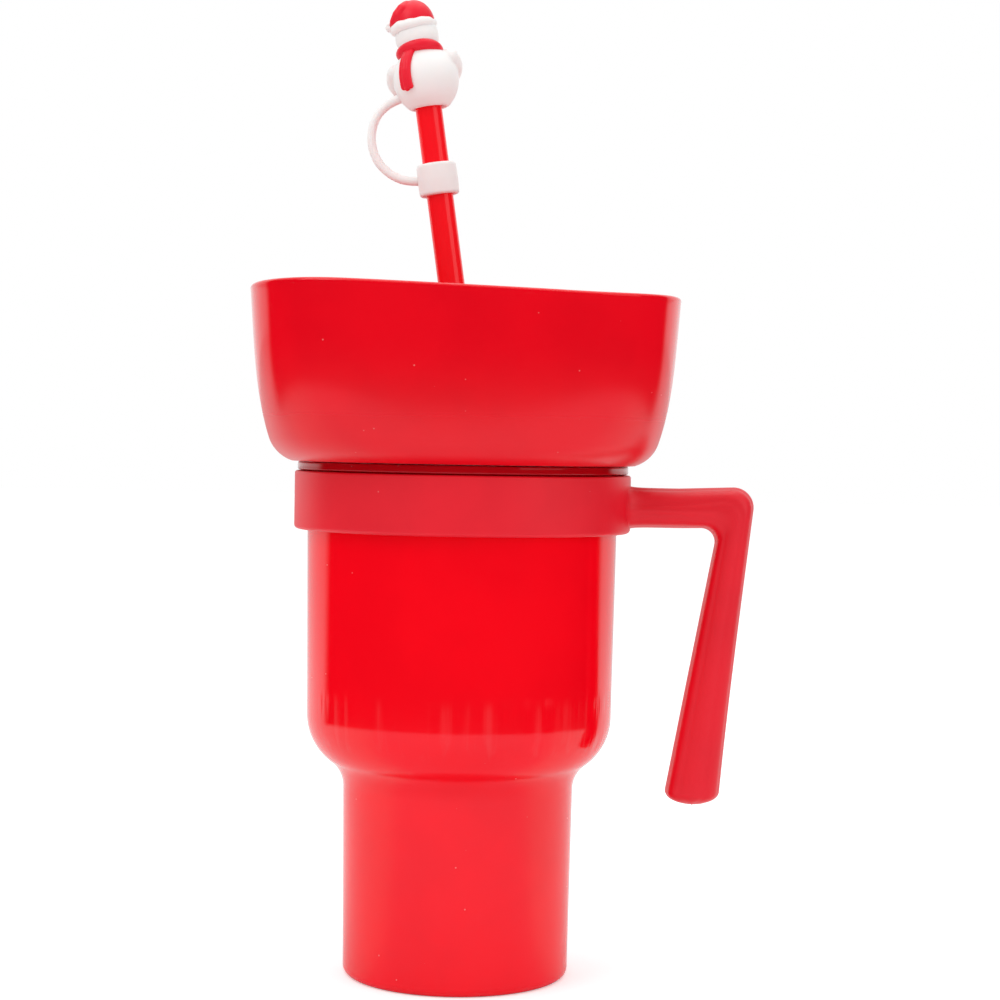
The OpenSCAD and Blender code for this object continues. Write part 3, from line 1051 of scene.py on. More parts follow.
@dataclass
class Handle:
    """The slip-on ring with its arm and its free-ended grip.

    Attributes:
        ring_r: Inner radius of the ring, with a wall of ring_wall.
        ring_z: Underside of the ring, and ring_top its upper edge.
        arm_rise: Height of the arm's middle over the ring's underside.
        arm_h: Height of the arm.
        arm_t: Thickness of the arm and grip across the view.
        crown: How far the flats between the rounded edges bulge.
        flats: Places of the points along a flat, as shares of its length.
        reach: Distance of the corner from the cup's axis.
        inner_r: Radius of the corner inside, and outer_r outside.
        top_w: Width of the grip at its top, and end_w at its end.
        length: Length of the grip below the arm.
        lean: Lean of the grip's outer edge, degrees.
        swell: How far the grip's end swells outwards.
        corner_rise: Height of the corner over the arm's top.
        edge_r: Radius of the outer edges, times inner_edge for the inner ones.
        tip_in: How far the domed end draws in, and tip_fall how far it falls.
        roots: Distances from the ring's wall of the rings that the arm starts with.
        flare_rise: How much the arm grows upwards and downwards at the ring.
        flare_side: How much it grows sideways there.
        flare_fade: Distance over which that growth fades.
        corner_steps: Steps round the corner.
        grip_steps: Steps down the grip.
        tip_turns: Turns of the domed end's rings, degrees.
    """

    ring_r: float = 51.7
    ring_wall: float = 4.3
    ring_z: float = 148.4
    ring_top: float = 167.6
    arm_rise: float = 8.7
    arm_h: float = 11.6
    arm_t: float = 15.4
    crown: float = 0.8
    reach: float = 96.2
    inner_r: float = 4.6
    outer_r: float = 6.6
    top_w: float = 10.4
    end_w: float = 16.5
    length: float = 88.0
    lean: float = 6.6
    swell: float = 1.1
    corner_rise: float = 0.9
    edge_r: float = 4.8
    inner_edge: float = 0.8
    tip_in: float = 7.4
    tip_fall: float = 4.4
    flats: tuple[float, ...] = (0.08, 0.3, 0.5, 0.7, 0.92)
    roots: tuple[float, ...] = (
        -3.0,
        -1.6,
        -0.6,
        0.2,
        0.9,
        1.7,
        2.6,
        3.8,
        5.2,
        7.0,
        9.0,
        12.0,
        16.0,
    )
    flare_rise: float = 0.55
    flare_side: float = 4.4
    flare_fade: float = 2.1
    corner_steps: int = 16
    grip_steps: int = 24
    tip_turns: tuple[int, ...] = (8, 16, 24, 32, 40, 48, 56, 64, 71, 77, 82, 86)

    def section(self, inner: Vector, outer: Vector, t: float) -> Ring:
        """One rounded ring of the skin.

        Args:
            inner: Middle of its inner edge.
            outer: Middle of its outer edge.
            t: Its thickness across the view.

        Returns:
            The ring's points.
        """
        w = (outer - inner).length
        u = (outer - inner) / w
        mid = (outer + inner) / 2
        corners = []
        for quarter in range(4):
            far = quarter in (0, 3)
            edge_r = self.edge_r * (1.0 if far else self.inner_edge)
            r = min(edge_r, w / 2 - 0.3, t / 2 - 0.3)
            cx = (w / 2 - r) * (1 if far else -1)
            cy = (t / 2 - r) * (1 if quarter < 2 else -1)
            corners.append(arc(cx, cy, r, 90 * quarter, 90 * quarter + 90, 8))
        ring = []
        for quarter, corner in enumerate(corners):
            (ax, ay), (bx, by) = corner[-1], corners[(quarter + 1) % 4][0]
            out_x, out_y = ((0, 1), (-1, 0), (0, -1), (1, 0))[quarter]
            flat = []
            for k in self.flats:
                bulge = self.crown * (1 - (2 * k - 1) ** 2)
                x = ax + (bx - ax) * k + out_x * bulge
                y = ay + (by - ay) * k + out_y * bulge
                flat.append((x, y))
            ring += [mid + u * x + Vector((0, y, 0)) for x, y in [*corner, *flat]]
        return ring

    def skin(self) -> list[Ring]:
        """Rings from inside the ring's wall, along the arm and down the grip."""
        out = self.ring_r + self.ring_wall
        under = self.ring_z + self.arm_rise - self.arm_h / 2
        over = under + self.arm_h
        end_z = under - self.length
        lean = math.radians(self.lean)
        outer_z = over + self.corner_rise - self.outer_r
        outer_c = Vector((self.reach - self.outer_r, 0, outer_z))
        outer_top = outer_c + self.outer_r * Vector((math.cos(lean), 0, -math.sin(lean)))
        drop = outer_top.z - end_z
        outer_end = outer_top - drop * Vector((math.tan(lean), 0, 1))
        inner_z = under - self.inner_r
        inner_x = outer_top.x - (outer_top.z - inner_z) * math.tan(lean) - self.top_w
        inner_c = Vector((inner_x - self.inner_r, 0, inner_z))
        inner_end = outer_end + Vector((self.swell - self.end_w, 0, 0))
        inner_lean = math.atan2(inner_x - inner_end.x, inner_z - end_z)
        inner_top = inner_c + self.inner_r * Vector(
            (math.cos(inner_lean), 0, -math.sin(inner_lean))
        )
        rings = []
        for k in self.roots:
            flare = math.exp(-(k + 0.6) / self.flare_fade)
            rise = self.flare_rise * min(flare, 1.6)
            rings.append(
                self.section(
                    Vector((out + k, 0, under - rise)),
                    Vector((out + k, 0, over + rise)),
                    self.arm_t + self.flare_side * min(flare, 1.9),
                )
            )
        for i in range(self.corner_steps + 1):
            a = math.radians(90 - (90 + self.lean) * i / self.corner_steps)
            b = math.radians(90) - (math.radians(90) + inner_lean) * i / self.corner_steps
            rings.append(
                self.section(
                    inner_c + self.inner_r * Vector((math.cos(b), 0, math.sin(b))),
                    outer_c + self.outer_r * Vector((math.cos(a), 0, math.sin(a))),
                    self.arm_t,
                )
            )
        for i in range(1, self.grip_steps + 1):
            t = i / self.grip_steps
            rings.append(
                self.section(
                    inner_top.lerp(inner_end, t),
                    outer_top.lerp(outer_end, t) + Vector((self.swell * t**3, 0, 0)),
                    self.arm_t + t,
                )
            )
        for a in self.tip_turns:
            draw_in = self.tip_in * (1 - math.cos(math.radians(a)))
            fall = self.tip_fall * math.sin(math.radians(a))
            rings.append(
                self.section(
                    inner_end + Vector((draw_in, 0, -fall)),
                    outer_end + Vector((self.swell - draw_in, 0, -fall)),
                    self.arm_t + 1 - 2 * draw_in,
                )
            )
        return rings

    def build(self) -> None:
        """Builds the ring and draws the arm and grip out of it."""
        out = self.ring_r + self.ring_wall
        form = Form().turned(
            [
                *arc(self.ring_r + 0.3, self.ring_top - 0.3, 0.3, 90, 180, 3),
                *arc(self.ring_r + 0.3, self.ring_z + 0.3, 0.3, 180, 270, 3),
                *arc(out - 1.3, self.ring_z + 1.3, 1.3, -90, 0, 8),
                *arc(out - 0.8, self.ring_top - 0.8, 0.8, 0, 90, 8),
            ],
            closed=True,
        )
        form.drawn(self.skin())
        mesh = form.mesh("handle_skin")
        piece("handle_skin", mesh, Body.HANDLE, HANDLE_SATIN, ["handle"])


@dataclass
class Bowl:
    """The snack bowl with its threaded plug and the straw's column.

    Attributes:
        base_z: Height of the bowl's underside.
        height: Height of the bowl at its middle.
        half: Half its width at the rim, and base_half at its flat base.
        square: Power of the rounded square at the rim, and base_square at the base.
        round_out: Share of the height at which the rim's squareness is reached.
        edge_r: Radius of the lower edge.
        edge_from: Turn where the base runs into that edge, degrees.
        edge_to: Turn where the edge runs into the side, degrees.
        edge_arc: Angles of the edge's own rings, which stop short of both.
        draft: Lean of the side, degrees.
        belly_power: Power of the side's bend.
        slope: Fall of the rim for each millimetre toward +X.
        drop: How far the rim lies under the height.
        rise_at: Where the rim's +X end starts to rise, and how fast.
        dip_at: Where its -X end starts to dip, and how fast.
        turn: Turn of the bowl on the cup, degrees.
        wall: Thickness of the wall, and floor of the floor.
        plug_r: Radius of the plug's collar.
        plug_depth: Depth of the plug.
        core_r: Radius of the plug under its thread.
        thread_r: Crest radius of the thread, over a height of thread_h.
        thread_low: Distance of the thread's lower end from the underside.
        column_h: Height of the straw's column, of radius column_r.
        bore_r: Radius of the column's bore.
        column_flare: How much wider the column is at its foot.
        floor_rings: Half width and squareness of the rings on the floor.
        base_rings: The same for the rings under the base, outside the plug.
        points: Points in a ring of the skin.
        side_steps: Steps up the side.
    """

    base_z: float = 170.9
    height: float = 55.3
    half: float = 69.77
    base_half: float = 56.9
    square: float = 3.8
    base_square: float = 2.5
    round_out: float = 0.7
    edge_r: float = 11.0
    edge_from: float = 18.0
    edge_to: float = 73.7
    edge_arc: Point = (-71.0, -17.0)
    draft: float = 4.0
    belly_power: float = 4.33
    slope: float = 0.036
    drop: float = 0.3
    rise_at: Point = (0.45, 5.8)
    dip_at: Point = (0.55, 7.8)
    turn: float = 5.0
    wall: float = 2.2
    floor: float = 2.4
    plug_r: float = 48.3
    plug_depth: float = 11.0
    core_r: float = 47.2
    thread_r: float = 48.25
    thread_low: float = 10.2
    thread_h: float = 6.6
    column_h: float = 23.1
    bore_r: float = 9.6
    column_r: float = 11.4
    column_flare: float = 2.2
    floor_rings: tuple[Point, ...] = (
        (22, 2.02),
        (30, 2.1),
        (38, 2.25),
        (45, 2.4),
        (51, 2.55),
    )
    base_rings: tuple[Point, ...] = ((52.0, 2.25), (49.5, 2.06))
    points: int = 176
    side_steps: int = 30

    def __post_init__(self) -> None:
        """Works out where the turn of the edge ends and the side starts."""
        start, end = math.radians(self.edge_from), math.radians(self.edge_to)
        self.edge_c = self.base_half - self.edge_r * math.sin(start)
        self.edge_h = self.edge_r * math.cos(start)
        self.side_r = self.edge_c + self.edge_r * math.sin(end)
        self.side_low = self.edge_h - self.edge_r * math.cos(end)
        self.side_h = self.height - self.side_low
        lean = math.tan(math.radians(self.draft))
        self.belly = self.half - self.side_r - self.side_h * lean

    def rim_at(self, u: float) -> float:
        """The rim's height over its mean, u from -1 to 1 across the bowl."""
        (start, lift), (end, dip) = self.rise_at, self.dip_at
        ends = lift * max(0.0, u - start) ** 2 - dip * max(0.0, -u - end) ** 2
        return ends - self.slope * u * self.half - self.drop

    def ring(self, a: float, h: float, square: float | None = None) -> Ring:
        """One ring of the skin.

        Args:
            a: Half its width.
            h: Height over the bowl's underside.
            square: Squareness, or none for the side's own at that height.

        Returns:
            The ring's points, the rim's slope and the bowl's turn included.
        """
        level = square is not None
        share = min(1.0, max(0.0, h) / (self.height * self.round_out))
        ease = math.sin(math.pi / 2 * share)
        own = self.base_square + (self.square - self.base_square) * ease
        s = square if level else own
        turn = math.radians(self.turn)
        ring = []
        for i in range(self.points):
            t = math.tau * i / self.points
            c, n = math.cos(t), math.sin(t)
            r = a / (abs(c) ** s + abs(n) ** s) ** (1 / s)
            x, y = r * c, r * n
            rim = 0.0 if level else self.rim_at(x / self.half) * h / self.height
            ring.append(
                Vector(
                    (
                        x * math.cos(turn) - y * math.sin(turn),
                        x * math.sin(turn) + y * math.cos(turn),
                        self.base_z + h + rim,
                    )
                )
            )
        return ring

    def side(self, u: float) -> Point:
        """A point of the side's profile.

        Args:
            u: Share of the way up the side.

        Returns:
            Half the width and the height there.
        """
        draft = self.side_h * (1 - u) * math.tan(math.radians(self.draft))
        return (
            self.half - draft - self.belly * (1 - u) ** self.belly_power,
            self.side_low + self.side_h * u,
        )

    def skin(self) -> list[Ring]:
        """Rings from the column's bore over the whole bowl and back under it."""
        top = self.column_h
        foot_r = self.column_r + self.column_flare
        level = [
            (self.bore_r, top - 0.5),
            (self.bore_r + 0.4, top),
            (self.column_r - 0.5, top),
            (self.column_r, top - 0.6),
            (self.column_r + self.column_flare * 0.3, top - 6.0),
            (self.column_r + self.column_flare * 0.65, top - 12.0),
            *arc(foot_r + 3.0, self.floor + 3.0, 3.0, 172, 270, 8),
        ]
        rings = [self.ring(a, h, 2.0) for a, h in level]
        rings += [self.ring(a, self.floor, s) for a, s in self.floor_rings]
        inner = self.edge_r - self.wall
        first, last = self.edge_arc
        edge = arc(self.edge_c, self.edge_h, inner, first, last, 12)
        rings += [self.ring(*place) for place in edge]
        for i in range(1, self.side_steps):
            a, h = self.side(i / self.side_steps)
            rings.append(self.ring(a - self.wall, h))
        lip = self.wall / 2
        for x, h in arc(0.0, 0.0, 1.0, 180, 0, 12):
            rings.append(self.ring(self.half - lip + lip * x, self.height - lip + lip * h))
        for i in range(self.side_steps - 1, 0, -1):
            rings.append(self.ring(*self.side(i / self.side_steps)))
        edge = arc(self.edge_c, self.edge_h, self.edge_r, last, first, 15)
        rings += [self.ring(*place) for place in edge]
        rings.append(self.ring(self.base_half, 0.0, self.base_square))
        rings += [self.ring(a, 0.0, s) for a, s in self.base_rings]
        low = -self.plug_depth
        core = self.core_r
        under = [
            (self.plug_r + 0.3, 0.0),
            (self.plug_r, -0.3),
            (self.plug_r, -2.2),
            (core, -2.9),
            (core, low + 0.5),
            (core - 0.5, low),
            (core - 1.6, low),
            (core - 1.9, low + 0.3),
            (core - 1.9, -0.4),
            (core - 2.6, 0.0),
            (30.0, 0.0),
            (self.bore_r + 0.5, 0.0),
            (self.bore_r, 0.5),
        ]
        return rings + [self.ring(a, h, 2.0) for a, h in under]

    def build(self) -> None:
        """Builds the bowl and the thread on its plug."""
        form = Form().drawn(self.skin(), closed=True)
        low = self.base_z - self.thread_low
        Thread(self.core_r, self.thread_r, low, self.thread_h, phase=0.0).add(form)
        mesh = form.mesh("bowl_shell", 30.0)
        piece("bowl_shell", mesh, Body.BOWL, BOWL_GLOSS, ["snack_bowl"])


@dataclass
class Straw:
    """The straw and the soft ring on it.

    Heights run along the straw's line, from the top of its bush.

    Attributes:
        bush_z: Height of the bush's top over the foot.
        lean: Lean of the straw, degrees.
        r: Radius of the straw, with a wall of wall.
        below: Length of the straw under the bush's top, and above over it.
        ring_r: Radius of the soft ring, and ring_h its height.
        ring_at: Height of the ring's middle.
        ring_edge: Radius of the ring's outer edges, and ring_lip of its inner ones.
        ring_bulge: How far the ring's side bulges at its middle.
        ring_gap: Gap between the ring and the straw.
    """

    bush_z: float = 196.3
    lean: float = 8.4
    r: float = 4.45
    wall: float = 0.7
    below: float = 193.82
    above: float = 106.0
    ring_r: float = 6.65
    ring_h: float = 10.6
    ring_at: float = 69.5
    ring_edge: float = 1.0
    ring_lip: float = 0.35
    ring_bulge: float = 0.12
    ring_gap: float = 0.05

    @property
    def line(self) -> Matrix:
        """The straw's line as a matrix in millimetres."""
        lean = Matrix.Rotation(math.radians(-self.lean), 4, "Y")
        return Matrix.Translation((0, 0, self.bush_z)) @ lean

    def build(self) -> None:
        """Builds the tube with its rounded ends, and the ring."""
        edge = self.wall / 2
        tube = Form().turned(
            [
                *arc(self.r - edge, self.above - edge, edge, 0, 180, 6),
                *arc(self.r - edge, -self.below + edge, edge, 180, 360, 6),
            ],
            closed=True,
            steps=64,
        )
        mesh = tube.moved(self.line).mesh("straw_tube")
        piece("straw_tube", mesh, Body.STRAW, STRAW_GLOSS, ["straw"])
        low, high = self.ring_at - self.ring_h / 2, self.ring_at + self.ring_h / 2
        bore = self.r + self.ring_gap
        lip, edge = self.ring_lip, self.ring_edge
        ring = Form().turned(
            [
                *arc(bore + lip, high - lip, lip, 90, 180, 4),
                *arc(bore + lip, low + lip, lip, 180, 270, 4),
                *arc(self.ring_r - edge, low + edge, edge, -90, -4, 6),
                (self.ring_r + self.ring_bulge, self.ring_at),
                *arc(self.ring_r - edge, high - edge, edge, 4, 90, 6),
            ],
            closed=True,
            steps=ROLL_STEPS,
        )
        mesh = ring.moved(self.line).mesh("straw_collar", 50.0)
        piece(
            "straw_collar", mesh, Body.KEEPER, SOFT_WHITE, ["straw_ring"]
        )


@dataclass
class Tether:
    """The soft loop from the ring to the snowman.

    Attributes:
        straw: The straw whose line it is placed on.
        r: Radius of the loop.
        low_root: How much thicker it starts at the ring.
        low_fade: Steps of its route over which that fades.
        high_root: How much thicker it ends at the snowman.
        high_fade: Steps of its route over which that fades.
        still_to: A height on the straw's line near the ring; not used.
        moves_from: A height on the straw's line near the snowman; not used.
        fine: Steps between two points of its route.
        route: Points of its middle, across and along the straw's line.
    """

    straw: Straw
    r: float = 1.45
    low_root: float = 0.35
    low_fade: float = 3.0
    high_root: float = 0.4
    high_fade: float = 6.0
    still_to: float = 71.5
    moves_from: float = 97.0
    fine: int = 6
    route: tuple[Point, ...] = (
        (-5.4, 69.9),
        (-8.6, 70.2),
        (-12.2, 71.3),
        (-15.8, 73.8),
        (-18.6, 77.3),
        (-20.1, 81.4),
        (-20.3, 85.8),
        (-19.2, 90.2),
        (-16.9, 93.8),
        (-13.6, 96.3),
        (-10.2, 97.6),
        (-7.0, 98.4),
    )

    def build(self) -> None:
        """Builds the loop and blends it from the ring to the snowman."""
        path = [Vector((x, 0, z)) for x, z in splined(self.route, self.fine)]
        last = len(path) - 1
        radii = []
        for i in range(last + 1):
            low = self.low_root * math.exp(-i / self.low_fade)
            high = self.high_root * math.exp(-(last - i) / self.high_fade)
            radii.append(self.r + low + high)
        form = Form().drawn(tube_rings(path, radii)).moved(self.straw.line)
        mesh = form.mesh("tether_loop", 60.0)
        obj = linked("tether_loop", mesh)
        mesh.materials.append(PALETTE.get(SOFT_WHITE))
        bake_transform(obj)
        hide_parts("tether")
        log.info("tether_loop: %d faces, blended", len(mesh.polygons))


@dataclass
class Snowman:
    """The soft cap: body, head and arms, a hat and a scarf.

    Attributes:
        straw: The straw whose line it is placed on.
        belly: Radius and height of the body's profile, from the socket's edge up.
        belly_x: Place of the body across the line.
        head_r: Radius of the head, centred at head_x and head_z.
        socket: Height of the socket's top, and bore_r its radius.
        arms: Side, shoulder's height and shift outwards of each arm.
        arm_r: Radius of an arm at the shoulder, arm_thin less at the hand.
        shoulder_at: Place of a shoulder beside and behind the body's middle.
        hand_at: Place of a hand, which is hand_fall lower.
        elbow: How far an arm bows outwards half way along.
        hat_r: Radius of the hat, and hat_h its height, at hat_x and hat_z.
        tip: Place and radius of the balls that the hat's folded tip is melted from.
        brim_ring: Radius of the hat's rolled edge, at brim_x and brim_z.
        brim_r: Thickness radius of that roll.
        ball_x: Place of the hat's ball, with ball_y and ball_z.
        ball_r: Radius of its core.
        tuft_r: Radius of the tufts round the core, tuft_at from its middle.
        scarf_ring: Radius of the scarf's roll, at scarf_x and scarf_z.
        scarf_r: Thickness radius of that roll.
        knot_side: Where the scarf is knotted, degrees round the body.
        tail_side: Where its end hangs, degrees round the body.
        tail_low: Height of the end's lower edge, and tail_h its length.
        smooth: Angle up to which edges are shaded smooth, degrees.
    """

    straw: Straw
    belly: tuple[Point, ...] = (
        (4.5, 94.6),
        (4.8, 93.9),
        (5.4, 93.4),
        (6.1, 93.35),
        (6.9, 93.8),
        (7.8, 94.8),
        (9.0, 96.4),
        (10.1, 98.6),
        (10.75, 101.0),
        (10.9, 103.2),
        (10.65, 105.4),
        (10.0, 107.5),
        (8.9, 109.5),
        (7.5, 111.2),
        (5.6, 112.7),
        (3.0, 113.8),
        (0.0, 114.2),
    )
    belly_x: float = 0.4
    head_r: float = 7.3
    head_x: float = -0.8
    head_z: float = 117.38
    socket: float = 106.3
    bore_r: float = 4.5
    arms: tuple[tuple[int, float, float], ...] = ((1, 109.2, 0.0), (-1, 106.2, 1.0))
    arm_r: float = 3.1
    arm_thin: float = 0.5
    shoulder_at: Point = (8.6, -0.4)
    hand_at: Point = (8.9, 6.0)
    hand_fall: float = 4.4
    elbow: float = 0.9
    hat_x: float = -1.0
    hat_z: float = 121.5
    hat_r: float = 6.8
    hat_h: float = 8.2
    tip: tuple[tuple[float, float, float, float], ...] = (
        (-1.7, -1.6, 5.7, 2.3),
        (-3.0, -3.1, 4.7, 2.3),
        (-4.6, -3.0, 3.1, 2.3),
        (-6.0, -2.2, 1.4, 2.0),
        (-6.9, -0.9, 0.4, 1.5),
    )
    brim_x: float = -1.5
    brim_z: float = 121.1
    brim_ring: float = 6.15
    brim_r: float = 1.72
    ball_x: float = -9.2
    ball_y: float = -0.3
    ball_z: float = 121.7
    ball_r: float = 1.5
    tufts: int = 9
    tuft_r: float = 0.85
    tuft_at: float = 0.95
    scarf_x: float = -0.1
    scarf_z: float = 112.75
    scarf_ring: float = 6.15
    scarf_r: float = 2.05
    knot_side: float = 205.0
    tail_side: float = 238.0
    tail_low: float = 99.5
    tail_h: float = 12.0
    smooth: float = 60.0

    def put(
        self, name: str, form: Form, finish: Finish, node: str
    ) -> bpy.types.Object:
        """Places a form on the straw's line and makes it a piece.

        Args:
            name: The piece's name.
            form: Its form, upright at the origin.
            finish: Its finish.
            node: CAD node that it stands for.

        Returns:
            The new object.
        """
        mesh = form.moved(self.straw.line).mesh(name, self.smooth)
        return piece(name, mesh, Body.SNOWMAN, finish, [node])

    def belly_at(self, z: float) -> float:
        """The body's radius between the points of its profile.

        Args:
            z: Height on the straw's line.

        Returns:
            The radius there, or 0 off the profile.
        """
        for (r0, z0), (r1, z1) in zip(self.belly[3:], self.belly[4:]):
            if z0 <= z <= z1:
                return r0 + (r1 - r0) * (z - z0) / (z1 - z0)
        return 0.0

    def figure(self) -> None:
        """Melts the body, head and arms into one skin with the straw's socket."""
        outline = [(max(0.0, r), z) for r, z in splined(self.belly, 5)]
        form = Form().turned([(0.0, self.belly[0][1]), *outline], steps=ROLL_STEPS)
        form.moved(Matrix.Translation((self.belly_x, 0, 0)))
        form.ball((self.head_x, 0, self.head_z), self.head_r)
        (near_x, near_y), (far_x, far_y) = self.shoulder_at, self.hand_at
        for side, z, wide in self.arms:
            shoulder = Vector((self.belly_x + side * (near_x + wide), near_y, z))
            hand_z = z - self.hand_fall
            hand = Vector((self.belly_x + side * (far_x + wide), far_y, hand_z))
            for i in range(7):
                t = i / 6
                out = Vector((side * self.elbow * math.sin(math.pi * t), 0, 0))
                form.ball(shoulder.lerp(hand, t) + out, self.arm_r - self.arm_thin * t)
        form = melted(form, 0.28, 5)
        bore = Form().turned(
            [
                (0, 80),
                (self.bore_r, 80),
                (self.bore_r, self.socket - 0.4),
                (4.1, self.socket),
                (0, self.socket),
            ],
            steps=64,
        )
        body = carved(form, bore)
        self.put("snowman_figure", body, SOFT_WHITE, "snowman_body")

    def hat(self) -> None:
        """Builds the hat with its folded tip, then its rolled edge and its ball."""
        turns = [math.radians(a) for a in range(0, 90, 5)]
        dome = Form().turned(
            [
                (0, -0.6),
                (self.hat_r - 0.6, -0.6),
                *((self.hat_r * math.cos(a), self.hat_h * math.sin(a)) for a in turns),
                (0, self.hat_h),
            ],
            steps=64,
        )
        for a, b in zip(self.tip, self.tip[1:]):
            for i in range(6):
                t = i / 6
                x, y, z, r = (p + (q - p) * t for p, q in zip(a, b))
                dome.ball((x, y, z), r)
        place = Matrix.Translation((self.hat_x, 0, self.hat_z))
        self.put("hat_crown", melted(dome, 0.2, 2).moved(place), SOFT_RED, "hat")
        self.hat_edge()
        self.hat_ball()

    def hat_edge(self) -> None:
        """Builds the hat's rolled edge, a little uneven and lower on the left."""
        rings = []
        for i in range(ROLL_STEPS):
            t = math.tau * i / ROLL_STEPS
            out = Vector((math.cos(t), math.sin(t), 0))
            left = 0.5 - 0.5 * math.cos(t)
            wave = 0.10 * math.sin(5 * t) + 0.06 * math.sin(11 * t + 1)
            rise = 0.35 - 1.0 * left + wave
            place = out * (self.brim_ring + wave) + Vector((0, 0, rise))
            fat = self.brim_r * (0.96 + 0.12 * left + 0.03 * math.sin(7 * t))
            rings.append(roll_ring(place, out, fat))
        brim = Form().drawn(rings, closed=True)
        brim.moved(Matrix.Translation((self.brim_x, 0, self.brim_z)))
        self.put("hat_roll", brim, SOFT_WHITE, "hat_brim")

    def hat_ball(self) -> None:
        """Builds the hat's ball from a core and the tufts round it."""
        middle = Vector((self.ball_x, self.ball_y, self.ball_z))
        ball = Form().ball(middle, self.ball_r)
        for i in range(self.tufts):
            turn, up = 2.4 * i, -0.85 + 0.21 * i
            rise = math.asin(up)
            level = math.cos(rise)
            out = Vector((math.cos(turn) * level, math.sin(turn) * level, math.sin(rise)))
            ball.ball(middle + out * self.tuft_at, self.tuft_r)
        self.put("hat_ball", melted(ball, 0.16, 2), SOFT_WHITE, "hat_pompom")

    def scarf(self) -> None:
        """Builds the scarf's roll and its hanging, ribbed end.

        The roll is thinner on the right and thicker at its knot, and its height
        follows the shoulders.
        """
        rings = []
        knotted = math.radians(self.knot_side)
        for i in range(ROLL_STEPS):
            t = math.tau * i / ROLL_STEPS
            out = Vector((math.cos(t), math.sin(t), 0))
            pinch = math.exp(-((math.remainder(t, math.tau) / 0.5) ** 2))
            knot = math.exp(-((math.remainder(t - knotted, math.tau) / 0.45) ** 2))
            fat = self.scarf_r * (1 - 0.34 * pinch + 0.16 * knot)
            rise = -0.85 * math.sin(t) - 0.55 * math.cos(t) ** 2 - 0.35 * knot
            place = out * self.scarf_ring + Vector((0, 0, rise))
            rings.append(roll_ring(place, out, fat))
        roll = Form().drawn(rings, closed=True)
        roll.moved(Matrix.Translation((self.scarf_x, 0, self.scarf_z)))
        self.put("scarf_roll", roll, SOFT_RED, "scarf")
        side = math.radians(self.tail_side)
        out = Vector((math.cos(side), math.sin(side), 0))
        across = Vector((-math.sin(side), math.cos(side), 0))
        tail = Form()
        for rib in (-1, 0, 1):
            for i in range(31):
                t = i / 30
                z = self.tail_low + (0.5 if rib else 0.0) * (1 - t) + self.tail_h * t
                lie = self.belly_at(z) + 0.35 + (0.2 if rib == 0 else 0.0)
                spread = (1.4 - 0.45 * t) * rib
                place = out * lie + across * spread
                tail.ball((place.x + self.belly_x, place.y, z), 0.98 + 0.15 * t)
        self.put("scarf_end", melted(tail, 0.18, 1), SOFT_RED, "scarf_tail")

    def build(self) -> None:
        """Builds every piece of the cap and dresses its small CAD nodes."""
        self.figure()
        self.hat()
        self.scarf()
        dress("eyes", COAL)
        dress("buttons", COAL)
        dress("nose", CARROT)


# ----------------------------------------------------------------------- stage


